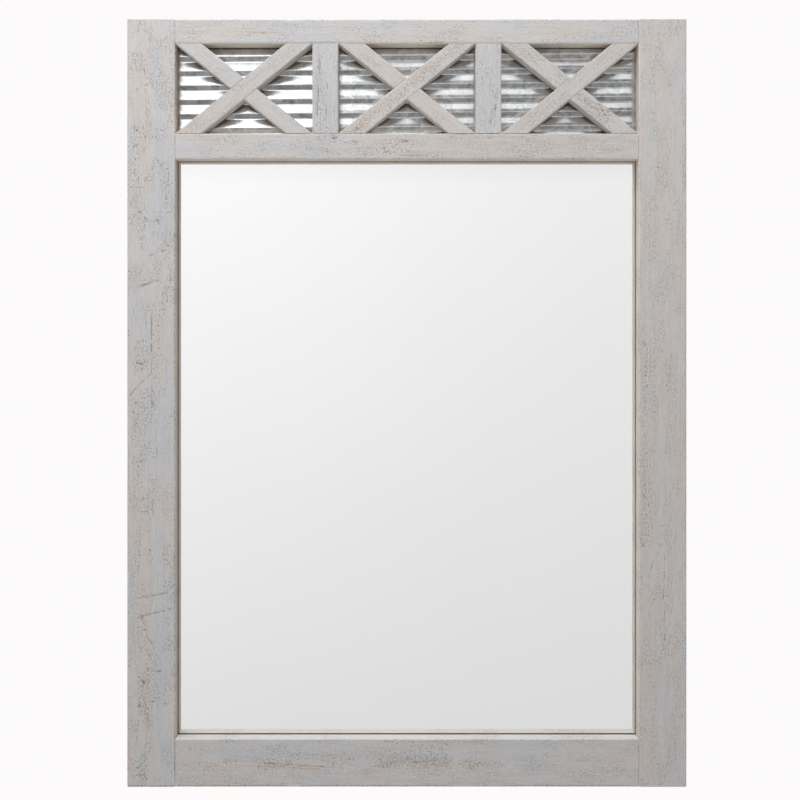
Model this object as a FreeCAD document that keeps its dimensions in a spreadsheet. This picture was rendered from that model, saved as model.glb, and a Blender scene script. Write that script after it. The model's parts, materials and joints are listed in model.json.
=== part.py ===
"""Wall mirror in a plank frame, with X braces over corrugated steel above the glass.

Lengths are millimetres. +Z is up, the front faces -Y and y = 0 is the wall that the bumpers rest on.
The origin lies on that wall, midway between the two hooks that carry the hanger rings.
"""
import FreeCAD, Part
import math
import os
import re

import Sketcher

DIMENSIONS = {
    # plank frame
    "frame_width": 666,
    "frame_height": 914,
    "board_thickness": 28,
    "stile_width": 57,
    "top_rail_width": 29,
    "middle_rail_width": 30.5,
    "bottom_rail_width": 57,
    "panel_opening_height": 107,
    "mullion_width": 31,
    "arris_radius": 1,
    # X braces
    "brace_width": 20,
    "brace_back_gap": 3.5,
    # rear rabbets, mirror glass and its backing
    "rabbet_lip": 8,
    "glass_thickness": 3,
    "glass_edge_bevel": 0.5,
    "glass_gap": 1.5,
    "backing_thickness": 3,
    # corrugated sheet: the shift puts one crest above the middle of the panel
    "sheet_thickness": 0.5,
    "sheet_gap": 3,
    "sheet_play": 0.1,
    "sheet_rise": 4.4,
    "corrugation_pitch": 17.3,
    "corrugation_depth": 3,
    "corrugation_shift": 10.8,
    # loose tenons
    "tenon_width": 16,
    "tenon_thickness": 8,
    "tenon_length": 40,
    "tenon_play": 0.1,
    "tenon_end_gap": 1,
    # brads of flat wire
    "brad_width": 1.2,
    "brad_thickness": 1,
    "brad_head_width": 2,
    "brad_head_height": 0.6,
    "brad_point": 2,
    "brad_play": 0.05,
    "brad_set": 1,
    "end_brad_length": 25,
    "lap_brad_length": 15,
    # retaining points, driven into the walls of the rabbets
    "point_width": 7,
    "point_thickness": 0.6,
    "point_bite": 7,
    "point_tip": 4,
    "point_reach": 10,
    "point_corner_cut": 2,
    "point_play": 0.05,
    "point_setback": 2,
    # wood screws
    "screw_diameter": 3.5,
    "screw_head_diameter": 7,
    "screw_head_height": 2,
    "screw_length": 14,
    "screw_point": 3,
    "screw_play": 0.1,
    # ring hangers: the hook seat lies hook_inset below the top of the frame
    "hook_inset": 180,
    "strap_width": 14,
    "strap_thickness": 1,
    "strap_bend_radius": 1,
    "strap_hole_spacing": 14,
    "strap_end_margin": 7,
    "strap_corner_radius": 5,
    "wire_diameter": 3,
    "ring_leg": 6,
    "ring_reach": 15,
    "ring_seat_width": 9,
    "ring_side_gap": 1,
    "ring_play": 0.1,
    "ring_rest_gap": 0.3,
    "ring_screw_gap": 1.5,
    # wall bumpers
    "bumper_diameter": 13,
    "bumper_edge_bevel": 1.5,
    "bumper_inset": 20,
    "wall_gap": 0.8,
}

DERIVED = {
    # heights, down from the top of the frame, and the three panel openings
    "frame_top": "hook_inset",
    "panel_top": "frame_top - top_rail_width",
    "panel_bottom": "panel_top - panel_opening_height",
    "mirror_top": "panel_bottom - middle_rail_width",
    "frame_bottom": "frame_top - frame_height",
    "mirror_bottom": "frame_bottom + bottom_rail_width",
    "opening_width": "frame_width - 2 * stile_width",
    "panel_width": "(opening_width - 2 * mullion_width) / 3",
    # depths, forward from the wall
    "loop_radius": "wire_diameter / 2 + ring_play + strap_thickness",
    "bumper_thickness": "2 * loop_radius + wall_gap",
    "back_plane": "-bumper_thickness",
    "front_plane": "back_plane - board_thickness",
    "tenon_plane": "back_plane - board_thickness / 2",
    "point_back": "back_plane - point_setback",
    "point_front": "point_back - point_thickness",
    "mirror_seat": "point_front - backing_thickness - glass_thickness",
    "mirror_rabbet": "back_plane - mirror_seat",
    "sheet_depth": "corrugation_depth + sheet_thickness",
    "sheet_seat": "point_front - sheet_depth - 2 * sheet_play",
    "sheet_rabbet": "back_plane - sheet_seat",
    "brace_back": "sheet_seat - brace_back_gap",
    "brace_thickness": "brace_back - front_plane",
    # each brace runs from corner to corner, with level cuts of this length where it meets the rails
    "panel_diagonal": "sqrt(panel_width ^ 2 + panel_opening_height ^ 2)",
    "brace_slant": "panel_opening_height * sqrt(panel_diagonal ^ 2 - brace_width ^ 2)",
    "brace_cut": "brace_width * panel_diagonal ^ 2 / (brace_width * panel_width + brace_slant)",
    "brace_slope": "panel_opening_height / (panel_width - brace_cut)",
    # what lies in the rabbets
    "glass_width": "opening_width + 2 * (rabbet_lip - glass_gap)",
    "glass_bottom": "mirror_bottom - rabbet_lip",
    "glass_height": "mirror_top + rabbet_lip - glass_gap - glass_bottom",
    "sheet_width": "opening_width + 2 * (rabbet_lip - sheet_gap)",
    "sheet_height": "panel_opening_height + 2 * (rabbet_lip - sheet_gap)",
    "sheet_y": "sheet_seat + sheet_play + sheet_depth / 2",
    "sheet_z": "(panel_top + panel_bottom) / 2",
    # corrugation: tangent arcs along the middle of the sheet, and half its wall where two arcs meet
    "wave_radius": "corrugation_pitch ^ 2 / (16 * corrugation_depth) + corrugation_depth / 4",
    "wall_out": "sheet_thickness / 2 * (1 - corrugation_depth / (2 * wave_radius))",
    "wall_up": "sheet_thickness * corrugation_pitch / (8 * wave_radius)",
    "wave_count": "ceil(sheet_height / corrugation_pitch) + 3",
    "first_crest": "corrugation_shift - floor(wave_count / 2) * corrugation_pitch",
    # ring hangers, with the hook seat at the origin's height when the rings are up
    "hanger_x": "frame_width / 2 - (stile_width - rabbet_lip) / 2",
    "ring_half_width": "strap_width / 2 + ring_side_gap + wire_diameter / 2",
    "ring_slope": "(ring_reach - ring_leg) / (ring_half_width - ring_seat_width / 2)",
    "ring_strap_reach": "ring_leg + ring_slope * (ring_half_width - strap_width / 2)",
    "ring_axis_y": "back_plane + loop_radius",
    "ring_axis_z": "wire_diameter / 2 - ring_reach",
    "ring_clear_radius": "ring_reach + wire_diameter / 2 + ring_screw_gap",
    "upper_strap_screw_z": "ring_axis_z - ring_clear_radius - screw_head_diameter / 2",
    "lower_strap_screw_z": "upper_strap_screw_z - strap_hole_spacing",
    "strap_bottom": "lower_strap_screw_z - strap_end_margin",
    # wall bumpers
    "bumper_x": "frame_width / 2 - bumper_inset",
}

# places along a joint, an edge or a cut, as shares of its length
NARROW_RAIL_TENON_SHARES = (0.5,)
WIDE_RAIL_TENON_SHARES = (0.27, 0.73)
STILE_POINT_SHARES = (0.15, 0.5, 0.85)
RAIL_POINT_SHARES = (-0.25, 0.25)
BRAD_SHARE = 0.65
SCREW_CROWN_SHARE = 0.6
# rear crests of the sheet that are held at its ends, as shares of the pitch from the shifted front crest
HELD_CREST_SHARES = (1.5, -2.5)

# sketch axes and normal of each origin plane
PLANES = {
    "XY_Plane": ("x", "y", "z", ""),
    "XZ_Plane": ("x", "z", "y", "-"),
    "YZ_Plane": ("y", "z", "x", ""),
}

# signs of the corners of a rectangle about its middle
CORNERS = ((-1, -1), (1, -1), (1, 1), (-1, 1))

Vector = FreeCAD.Vector
X_AXIS = Vector(1, 0, 0)
Y_AXIS = Vector(0, 1, 0)
Z_AXIS = Vector(0, 0, 1)
AS_MADE = FreeCAD.Rotation()
ON_END = FreeCAD.Rotation(Y_AXIS, 90)
UPSIDE_DOWN = FreeCAD.Rotation(X_AXIS, 180)
FACING_BACK = FreeCAD.Rotation(X_AXIS, -90)
DRIVEN_FROM_FRONT = FreeCAD.Rotation(X_AXIS, 90)

doc = FreeCAD.newDocument("WallMirror")


def write_sheet():
    """Put the driving dimensions into a spreadsheet, one aliased cell each."""
    sheet = doc.addObject("Spreadsheet::Sheet", "Dimensions")
    for row, (name, value) in enumerate(DIMENSIONS.items(), start=1):
        sheet.set(f"A{row}", name)
        sheet.set(f"B{row}", str(value))
        sheet.setAlias(f"B{row}", name)


def bound(text):
    """An expression with each dimension's name led by the object that holds it."""
    def owned(match):
        name = match.group()
        if name in DIMENSIONS:
            return f"Dimensions.{name}"
        return f"Derived.{name}" if name in DERIVED else name
    return re.sub(r"[a-z][a-z_]*", owned, text)


def write_derived():
    """Work the other sizes out from the driving ones, in a set of variables."""
    derived = doc.addObject("App::VarSet", "Derived")
    for name, text in DERIVED.items():
        derived.addProperty("App::PropertyFloat", name)
        derived.setExpression(name, bound(text))


def size(text):
    """The present value of an expression."""
    return float(doc.Derived.evalExpression(bound(text)))


class Piece:
    """A body placed at a reference point, with features given in the mirror's own coordinates."""

    def __init__(self, label, x="0", y="0", z="0"):
        self.body = doc.addObject("PartDesign::Body", label)
        self.body.Label = label
        self.reference = {"x": x, "y": y, "z": z}
        for axis, text in self.reference.items():
            self.body.setExpression(f"Placement.Base.{axis}", bound(text))

    def origin_feature(self, role):
        return next(item for item in self.body.Origin.OriginFeatures if item.Role == role)

    def sketch(self, plane, x="0", y="0", z="0"):
        """An empty sketch on an origin plane, with its own origin moved to a point."""
        sketch = self.body.newObject("Sketcher::SketchObject", f"{plane[:2]}_Sketch")
        sketch.AttachmentSupport = [(self.origin_feature(plane), "")]
        sketch.MapMode = "FlatFace"
        point = {"x": x, "y": y, "z": z}
        right, up, out, sign = PLANES[plane]
        for offset_axis, axis, lead in (("x", right, ""), ("y", up, ""), ("z", out, sign)):
            text = f"{lead}(({point[axis]}) - ({self.reference[axis]}))"
            sketch.setExpression(f"AttachmentOffset.Base.{offset_axis}", bound(text))
        return sketch

    def feature(self, kind, profile, length, towards):
        """A Pad or Pocket of a sketch that runs towards a side such as +x."""
        plane = profile.AttachmentSupport[0][0].Role
        normal = (PLANES[plane][3] or "+") + PLANES[plane][2]
        feature = self.body.newObject(f"PartDesign::{kind}", kind)
        feature.Profile = profile
        feature.setExpression("Length", bound(length))
        feature.Reversed = (towards == normal) if kind == "Pocket" else (towards != normal)
        return feature

    def pad(self, profile, length, towards):
        return self.feature("Pad", profile, length, towards)

    def pocket(self, profile, length, towards):
        return self.feature("Pocket", profile, length, towards)

    def box(self, x, y, z, width, depth, height):
        """A pad from y back towards the front, with its lower left corner at x and z."""
        return self.pad(outline(self.sketch("XZ_Plane", x, y, z), rectangle(width, height)), depth, "-y")

    def holes(self, plane, places, diameter, depth, towards):
        """Round holes of one diameter, from a plane through their places."""
        profile = self.sketch(plane, *places[0])
        right, up = (("x", "y", "z").index(axis) for axis in PLANES[plane][:2])
        for place in places:
            centre = [f"({place[i]}) - ({places[0][i]})" for i in (right, up)]
            circle(profile, centre, diameter)
        return self.pocket(profile, depth, towards)

    def slots(self, plane, places, width, height, depth, towards):
        """Rectangular holes of one size, from a plane through their middles."""
        for place in places:
            field = [(f"{u} * ({width}) / 2", f"{v} * ({height}) / 2") for u, v in CORNERS]
            self.pocket(outline(self.sketch(plane, *place), field), depth, towards)

    def dress(self, kind, value, test):
        """A Fillet or Chamfer of the edges that pass a test."""
        doc.recompute()
        base = self.body.Tip
        names = [f"Edge{i}" for i, edge in enumerate(base.Shape.Edges, start=1) if test(edge)]
        feature = self.body.newObject(f"PartDesign::{kind}", kind)
        feature.Base = (base, names)
        feature.setExpression("Radius" if kind == "Fillet" else "Size", bound(value))
        return feature

    def ease_front(self, along):
        """Round the arrises of the front face that run along the given direction."""
        front = size("front_plane") - size(self.reference["y"])
        self.dress("Fillet", "arris_radius",
                   lambda edge: lies_at(edge, "y", front) and (along is None or runs_along(edge, along)))


def lies_at(edge, axis, value):
    """True where both ends of an edge have this coordinate."""
    return all(abs(getattr(vertex.Point, axis) - value) < edge.Length * 1e-6 for vertex in edge.Vertexes)


def runs_along(edge, direction):
    """True for a straight edge parallel to a direction."""
    if len(edge.Vertexes) != 2 or edge.Curve.TypeId != "Part::GeomLine":
        return False
    return edge.Curve.Direction.cross(direction).Length < 1e-6


def rectangle(width, height):
    return [("0", "0"), (width, "0"), (width, height), ("0", height)]


def set_point(profile, geometry, end, place, name):
    """Hold one point of a sketch at its place, by a distance along each axis."""
    for kind, text in zip(("DistanceX", "DistanceY"), place):
        index = profile.addConstraint(Sketcher.Constraint(kind, -1, 1, geometry, end, size(text)))
        label = f"{name}_{kind[-1].lower()}"
        profile.renameConstraint(index, label)
        profile.setExpression(f"Constraints.{label}", bound(text))


def set_size(profile, kind, geometry, text, name):
    """Hold a radius or diameter of a sketch."""
    index = profile.addConstraint(Sketcher.Constraint(kind, geometry, size(text)))
    profile.renameConstraint(index, name)
    profile.setExpression(f"Constraints.{name}", bound(text))


def circle(profile, centre, diameter):
    number = profile.addGeometry(Part.Circle(Vector(*map(size, centre)), Z_AXIS, size(diameter) / 2))
    set_point(profile, number, 3, centre, f"centre_{number}")
    set_size(profile, "Diameter", number, diameter, f"diameter_{number}")
    return profile


def arc(profile, centre, radius, start, end):
    """An anticlockwise arc about a centre, whose radius is held."""
    whole = Part.Circle(Vector(*centre), Z_AXIS, size(radius))
    number = profile.addGeometry(Part.ArcOfCircle(whole, start, end))
    set_size(profile, "Radius", number, radius, f"radius_{number}")
    return number


def join_ends(profile, count):
    """Join each line of a closed outline to the next."""
    for i in range(count):
        profile.addConstraint(Sketcher.Constraint("Coincident", i, 2, (i + 1) % count, 1))


def outline(profile, points):
    """A closed outline of straight lines through points given as expressions."""
    corners = [Vector(size(u), size(v)) for u, v in points]
    for start, end in zip(corners, corners[1:] + corners[:1]):
        profile.addGeometry(Part.LineSegment(start, end))
    join_ends(profile, len(points))
    for i, place in enumerate(points):
        set_point(profile, i, 1, place, f"corner_{i}")
    return profile


def turned(label, points):
    """A master piece turned about its Z axis from a half profile."""
    piece = Piece(label)
    profile = outline(piece.sketch("XZ_Plane"), points)
    revolution = piece.body.newObject("PartDesign::Revolution", "Revolution")
    revolution.Profile = profile
    revolution.ReferenceAxis = (profile, ["V_Axis"])
    return piece.body


def group(label, master, places):
    """Copies of a master piece as one node, each at a place and turn."""
    copies = []
    for number, (x, y, z, rotation) in enumerate(places, start=1):
        copy = doc.addObject("App::Link", f"{label}_{number}")
        copy.LinkedObject = master
        copy.LinkTransform = True
        copy.Placement.Rotation = rotation
        for axis, text in zip("xyz", (x, y, z)):
            copy.setExpression(f"Placement.Base.{axis}", bound(text))
        copies.append(copy)
    compound = doc.addObject("Part::Compound", label)
    compound.Label = label
    compound.Links = copies
    return compound


# left edges of the mullions and of the panel openings, from left to right
MULLION_X = {
    "left": "-opening_width / 2 + panel_width",
    "right": "opening_width / 2 - panel_width - mullion_width",
}
PANEL_X = {
    "left": "-opening_width / 2",
    "centre": "-panel_width / 2",
    "right": "opening_width / 2 - panel_width",
}
# lower edge and width of each rail, and where its tenons lie across it
RAILS = {
    "top": ("panel_top", "top_rail_width", NARROW_RAIL_TENON_SHARES),
    "middle": ("mirror_top", "middle_rail_width", NARROW_RAIL_TENON_SHARES),
    "bottom": ("frame_bottom", "bottom_rail_width", WIDE_RAIL_TENON_SHARES),
}
SIDES = {"left": "-1", "right": "1"}
STRAP_SCREW_HEIGHTS = ("upper_strap_screw_z", "lower_strap_screw_z")
# the rabbet's wall above and below the glass, and the way that retaining points bite into it
POINT_WALLS = {
    "middle": ("mirror_top + rabbet_lip", "+z"),
    "bottom": ("mirror_bottom - rabbet_lip", "-z"),
}
# turn about Y of a retaining point that bites towards each side
POINT_TURNS = {"-x": 0, "+x": 180, "+z": 90, "-z": -90}


def rail_tenon_heights(name):
    low, width, shares = RAILS[name]
    return [f"{low} + {share} * {width}" for share in shares]


def mullion_middle(side):
    return f"{MULLION_X[side]} + mullion_width / 2"


def panel_middle(panel):
    return f"{PANEL_X[panel]} + panel_width / 2"


def stile_point_places(side):
    """Where the retaining points in a stile leave the rabbet's wall: x, z and the way they bite."""
    sign = SIDES[side]
    wall = f"{sign} * (opening_width / 2 + rabbet_lip)"
    heights = [f"mirror_bottom + {share} * (mirror_top - mirror_bottom)" for share in STILE_POINT_SHARES]
    heights += [f"sheet_z + corrugation_shift + {share} * corrugation_pitch + {sign} * sheet_rise / 2"
                for share in HELD_CREST_SHARES]
    return [(wall, height, "-x" if side == "left" else "+x") for height in heights]


def rail_point_places(name):
    """Where the retaining points in a rail leave the rabbet's wall: x, z and the way they bite."""
    wall, bite = POINT_WALLS[name]
    return [(f"{share} * opening_width", wall, bite) for share in RAIL_POINT_SHARES]


def brad_places(panel):
    """The x of the brads in one X, at the foot and the head of the rising and the falling brace."""
    inset = f"{BRAD_SHARE} * brace_cut"
    near = f"{PANEL_X[panel]} + {inset}"
    far = f"{PANEL_X[panel]} + panel_width - {inset}"
    return {"rising": (near, far), "falling": (far, near)}


def cut_rabbet(piece, seat):
    """The rear rabbet that is routed round an opening after the boards are joined."""
    low, high, depth = {
        "mirror": ("mirror_bottom", "mirror_top", "mirror_rabbet"),
        "sheet": ("panel_bottom", "panel_top", "sheet_rabbet"),
    }[seat]
    corner = piece.sketch("XZ_Plane", "-opening_width / 2 - rabbet_lip", "back_plane", f"{low} - rabbet_lip")
    field = rectangle("opening_width + 2 * rabbet_lip", f"{high} - {low} + 2 * rabbet_lip")
    piece.pocket(outline(corner, field), depth, "-y")


def cut_mortises(piece, plane, places, towards):
    sides = ["tenon_thickness + 2 * tenon_play", "tenon_width + 2 * tenon_play"]
    across, along = sides if plane == "YZ_Plane" else reversed(sides)
    piece.slots(plane, places, across, along, "tenon_length / 2 + tenon_end_gap", towards)


def cut_point_slots(piece, places):
    """The slots that driven retaining points leave in the wall of a rabbet."""
    half = "(point_width / 2 + point_play)"
    shoulder = "-(point_bite - point_tip)"
    shape = [("0", f"-{half}"), ("0", half), (shoulder, half), ("-point_bite - point_play", "0"),
             (shoulder, f"-{half}")]
    for x, z, bite in places:
        sketch = piece.sketch("XZ_Plane", x, "point_back + point_play", z)
        slot = outline(sketch, [turned_outline(u, v, bite) for u, v in shape])
        piece.pocket(slot, "point_thickness + 2 * point_play", "-y")


def turned_outline(u, v, bite):
    """A point of an outline made to bite towards -x, turned about Y to bite another way."""
    return {"-x": (u, v), "+x": (f"-({u})", f"-({v})"), "+z": (v, f"-({u})"), "-z": (f"-({v})", u)}[bite]


def drill_screws(piece, places):
    """Pilot holes from the back of a board, at the given x and z."""
    piece.holes("XZ_Plane", [(x, "back_plane", z) for x, z in places],
                "screw_diameter + 2 * screw_play", "screw_length", "-y")


def stile(side):
    sign = SIDES[side]
    x = "-frame_width / 2" if side == "left" else "frame_width / 2 - stile_width"
    piece = Piece(f"{side}_stile", x, "back_plane", "frame_bottom")
    piece.box(x, "back_plane", "frame_bottom", "stile_width", "board_thickness", "frame_height")
    piece.ease_front(None)
    cut_rabbet(piece, "mirror")
    cut_rabbet(piece, "sheet")
    inner_edge = f"{sign} * opening_width / 2"
    tenons = [(inner_edge, "tenon_plane", height) for name in RAILS for height in rail_tenon_heights(name)]
    cut_mortises(piece, "YZ_Plane", tenons, "-x" if side == "left" else "+x")
    cut_point_slots(piece, stile_point_places(side))
    drill_screws(piece, [(f"{sign} * hanger_x", height) for height in STRAP_SCREW_HEIGHTS])
    return piece.body


def rail(name):
    low, width, _ = RAILS[name]
    left_end = "-opening_width / 2"
    right_end = "opening_width / 2"
    piece = Piece(f"{name}_rail", left_end, "back_plane", low)
    piece.box(left_end, "back_plane", low, "opening_width", "board_thickness", width)
    piece.ease_front(X_AXIS)
    if name in POINT_WALLS:
        cut_rabbet(piece, "mirror")
        cut_point_slots(piece, rail_point_places(name))
    if name != "bottom":
        cut_rabbet(piece, "sheet")
        edge = "panel_top" if name == "top" else "panel_bottom"
        into_rail = "+z" if name == "top" else "-z"
        mullions = [(mullion_middle(side), "tenon_plane", edge) for side in MULLION_X]
        cut_mortises(piece, "XY_Plane", mullions, into_rail)
        end = 1 if name == "top" else 0
        brads = [(pair[end], "brace_back - brace_thickness / 2", edge)
                 for panel in PANEL_X for pair in brad_places(panel).values()]
        drill_brads(piece, brads, "XY_Plane", "end_brad_length", into_rail)
    for end, towards in ((left_end, "+x"), (right_end, "-x")):
        tenons = [(end, "tenon_plane", height) for height in rail_tenon_heights(name)]
        cut_mortises(piece, "YZ_Plane", tenons, towards)
    return piece.body


def mullion(side):
    x = MULLION_X[side]
    thickness = "sheet_seat - front_plane"
    piece = Piece(f"{side}_mullion", x, "sheet_seat", "panel_bottom")
    piece.box(x, "sheet_seat", "panel_bottom", "mullion_width", thickness, "panel_opening_height")
    piece.ease_front(Z_AXIS)
    for edge, towards in (("panel_top", "-z"), ("panel_bottom", "+z")):
        cut_mortises(piece, "XY_Plane", [(mullion_middle(side), "tenon_plane", edge)], towards)
    return piece.body


def drill_brads(piece, places, plane, depth, towards):
    """Holes as wide as the heads, so that the brads can be set below the surface."""
    width = "brad_head_width + 2 * brad_play"
    piece.slots(plane, places, width, "brad_thickness + 2 * brad_play", depth, towards)


BRACE_OUTLINES = {
    "rising": [("0", "0"), ("brace_cut", "0"), ("panel_width", "panel_opening_height"),
               ("panel_width - brace_cut", "panel_opening_height")],
    "falling": [("panel_width - brace_cut", "0"), ("panel_width", "0"),
                ("brace_cut", "panel_opening_height"), ("0", "panel_opening_height")],
}


def brace(panel, lean):
    """One strip of an X, halved where it crosses the other: the rising strip passes in front."""
    x = PANEL_X[panel]
    other = "falling" if lean == "rising" else "rising"
    piece = Piece(f"{panel}_{lean}_brace", x, "brace_back", "panel_bottom")
    strip = outline(piece.sketch("XZ_Plane", x, "brace_back", "panel_bottom"), BRACE_OUTLINES[lean])
    piece.pad(strip, "brace_thickness", "-y")
    sign = "" if lean == "rising" else "-"
    slope = size(f"{sign}brace_slope")
    piece.ease_front(Vector(1, 0, slope).normalize())
    face, into_strip = ("brace_back", "-y") if lean == "rising" else ("front_plane", "+y")
    notch = outline(piece.sketch("XZ_Plane", x, face, "panel_bottom"), BRACE_OUTLINES[other])
    piece.pocket(notch, "brace_thickness / 2", into_strip)
    middle = "brace_back - brace_thickness / 2"
    crossing = (panel_middle(panel), "front_plane", "panel_bottom + panel_opening_height / 2")
    drill_brads(piece, [crossing], "XZ_Plane", "brad_set + lap_brad_length", "+y")
    foot, head = brad_places(panel)[lean]
    for brad_x, edge, towards in ((foot, "panel_bottom", "+z"), (head, "panel_top", "-z")):
        drill_brads(piece, [(brad_x, middle, edge)], "XY_Plane", "panel_opening_height / 2", towards)
    return piece.body


def corrugated_sheet():
    """Stock sheet of tangent arcs, trimmed to the rabbet and seated a little out of level."""
    piece = Piece("corrugated_sheet", "0", "sheet_y", "sheet_z")
    piece.body.Placement.Rotation = FreeCAD.Rotation(-Y_AXIS, 1)
    piece.body.setExpression("Placement.Rotation.Angle", bound("asin(sheet_rise / sheet_width)"))
    left_edge = "-sheet_width / 2"
    pad = piece.pad(wave(piece.sketch("YZ_Plane", left_edge, "sheet_y", "sheet_z + first_crest")),
                    "sheet_width", "+x")
    pattern = piece.body.newObject("PartDesign::LinearPattern", "Waves")
    pattern.Originals = [pad]
    pattern.Direction = (piece.origin_feature("Z_Axis"), [""])
    pattern.setExpression("Length", bound("(wave_count - 1) * corrugation_pitch"))
    pattern.setExpression("Occurrences", bound("wave_count"))
    piece.body.Tip = pattern
    depth = "corrugation_depth + 2 * sheet_thickness"
    waste = "2 * corrugation_pitch + corrugation_shift"
    for height in ("sheet_height / 2", f"-sheet_height / 2 - ({waste})"):
        corner = piece.sketch("YZ_Plane", left_edge, f"sheet_y - ({depth}) / 2", f"sheet_z + {height}")
        piece.pocket(outline(corner, rectangle(depth, waste)), "sheet_width", "+x")
    return piece.body


def wave(profile):
    """The wall of one corrugation: a crest arc towards the front, then a valley arc above it."""
    spread = math.asin(size("corrugation_pitch / (4 * wave_radius)"))
    crest = (size("wave_radius - corrugation_depth / 2"), 0)
    valley = (-crest[0], size("corrugation_pitch / 2"))
    outside = "wave_radius + sheet_thickness / 2"
    inside = "wave_radius - sheet_thickness / 2"
    crest_front = arc(profile, crest, outside, math.pi - spread, math.pi + spread)
    crest_back = arc(profile, crest, inside, math.pi - spread, math.pi + spread)
    valley_front = arc(profile, valley, inside, -spread, spread)
    valley_back = arc(profile, valley, outside, -spread, spread)
    ends = [profile.Geometry[i].EndPoint for i in (crest_front, crest_back, valley_front, valley_back)]
    low_end = profile.addGeometry(Part.LineSegment(*ends[:2]))
    high_end = profile.addGeometry(Part.LineSegment(*ends[2:]))
    for first, first_end, second, second_end in (
            (crest_front, 1, valley_front, 1), (crest_back, 1, valley_back, 1),
            (low_end, 1, crest_front, 2), (low_end, 2, crest_back, 2),
            (high_end, 1, valley_front, 2), (high_end, 2, valley_back, 2)):
        profile.addConstraint(Sketcher.Constraint("Coincident", first, first_end, second, second_end))
    quarter = "corrugation_pitch / 4"
    set_point(profile, crest_front, 2, ("-wall_out", f"-{quarter} - wall_up"), "front_low")
    set_point(profile, crest_front, 1, ("-wall_out", f"{quarter} + wall_up"), "front_middle")
    set_point(profile, valley_front, 2, ("-wall_out", f"3 * {quarter} - wall_up"), "front_high")
    set_point(profile, crest_back, 2, ("wall_out", f"-{quarter} + wall_up"), "back_low")
    set_point(profile, crest_back, 1, ("wall_out", f"{quarter} - wall_up"), "back_middle")
    set_point(profile, valley_back, 2, ("wall_out", f"3 * {quarter} + wall_up"), "back_high")
    return profile


def mirror_glass():
    x = "-glass_width / 2"
    y = "mirror_seat + glass_thickness"
    piece = Piece("mirror_glass", x, y, "glass_bottom")
    piece.box(x, y, "glass_bottom", "glass_width", "glass_thickness", "glass_height")
    piece.dress("Chamfer", "glass_edge_bevel", lambda edge: not runs_along(edge, Y_AXIS))
    return piece.body


def backing_board():
    x = "-glass_width / 2"
    piece = Piece("backing_board", x, "point_front", "glass_bottom")
    piece.box(x, "point_front", "glass_bottom", "glass_width", "backing_thickness", "glass_height")
    return piece.body


def tenon():
    """A loose tenon that lies along X, with its middle at the origin."""
    corner = [f"-{name} / 2" for name in ("tenon_length", "tenon_width")]
    piece = Piece("tenon")
    piece.box(corner[0], "tenon_thickness / 2", corner[1], "tenon_length", "tenon_thickness", "tenon_width")
    return piece.body


def brad(label, length):
    """A brad of flat wire that points down, with the top of its head at the origin."""
    side = [("brad_width / 2", f"brad_point - {length}"), ("brad_width / 2", "-brad_head_height"),
            ("brad_head_width / 2", "-brad_head_height"), ("brad_head_width / 2", "0")]
    other_side = [(f"-{u}", v) for u, v in reversed(side)]
    piece = Piece(label)
    sketch = piece.sketch("XZ_Plane", "0", "brad_thickness / 2")
    piece.pad(outline(sketch, [("0", f"-{length}"), *side, *other_side]), "brad_thickness", "-y")
    return piece.body


def retaining_point():
    """A flat steel point that bites towards -x from the rabbet's wall at the origin."""
    half = "point_width / 2"
    side = [("point_tip - point_bite", half), ("point_reach - point_corner_cut", half),
            ("point_reach", f"{half} - point_corner_cut")]
    other_side = [(u, f"-({v})") for u, v in reversed(side)]
    piece = Piece("retaining_point")
    shape = outline(piece.sketch("XZ_Plane"), [("-point_bite", "0"), *side, *other_side])
    piece.pad(shape, "point_thickness", "-y")
    return piece.body


def screw():
    """A pan head screw that points down, with its head seated at the origin."""
    head = "screw_head_diameter / 2"
    return turned("screw", [
        ("0", "-screw_length"), ("screw_diameter / 2", "screw_point - screw_length"),
        ("screw_diameter / 2", "0"), (head, "0"), (head, "screw_head_height / 2"),
        (f"{SCREW_CROWN_SHARE} * {head}", "screw_head_height"), ("0", "screw_head_height"),
    ])


def bumper():
    """A round rubber bumper that stands on its glued face, with a bevelled rim."""
    radius = "bumper_diameter / 2"
    return turned("bumper", [
        ("0", "0"), (radius, "0"), (radius, "bumper_thickness - bumper_edge_bevel"),
        (f"{radius} - bumper_edge_bevel", "bumper_thickness"), ("0", "bumper_thickness"),
    ])


def hanger_strap(side):
    """A strap folded double round the ring's bar and screwed to the back of a stile."""
    x = f"{SIDES[side]} * hanger_x"
    left_edge = f"{x} - strap_width / 2"
    piece = Piece(f"{side}_hanger_strap", x, "back_plane", "ring_axis_z")
    plate = outline(piece.sketch("XZ_Plane", left_edge, "back_plane", "strap_bottom"),
                    rectangle("strap_width", "ring_axis_z - strap_bottom"))
    piece.pad(plate, "2 * strap_thickness", "+y")
    axis = (left_edge, "ring_axis_y", "ring_axis_z")
    piece.pad(circle(piece.sketch("YZ_Plane", *axis), ("0", "0"), "2 * loop_radius"), "strap_width", "+x")
    low = size("strap_bottom - ring_axis_z")
    piece.dress("Fillet", "strap_corner_radius",
                lambda edge: lies_at(edge, "z", low) and runs_along(edge, Y_AXIS))
    folded = size("2 * strap_thickness")
    bends = lambda edge: lies_at(edge, "y", folded) and not lies_at(edge, "z", low)
    piece.dress("Fillet", "strap_bend_radius", lambda edge: bends(edge) and runs_along(edge, X_AXIS))
    piece.holes("YZ_Plane", [axis], "wire_diameter + 2 * ring_play", "strap_width", "+x")
    screws = [(x, "back_plane", height) for height in STRAP_SCREW_HEIGHTS]
    piece.holes("XZ_Plane", screws, "screw_diameter + 2 * screw_play", "2 * strap_thickness", "+y")
    return piece.body


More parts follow.
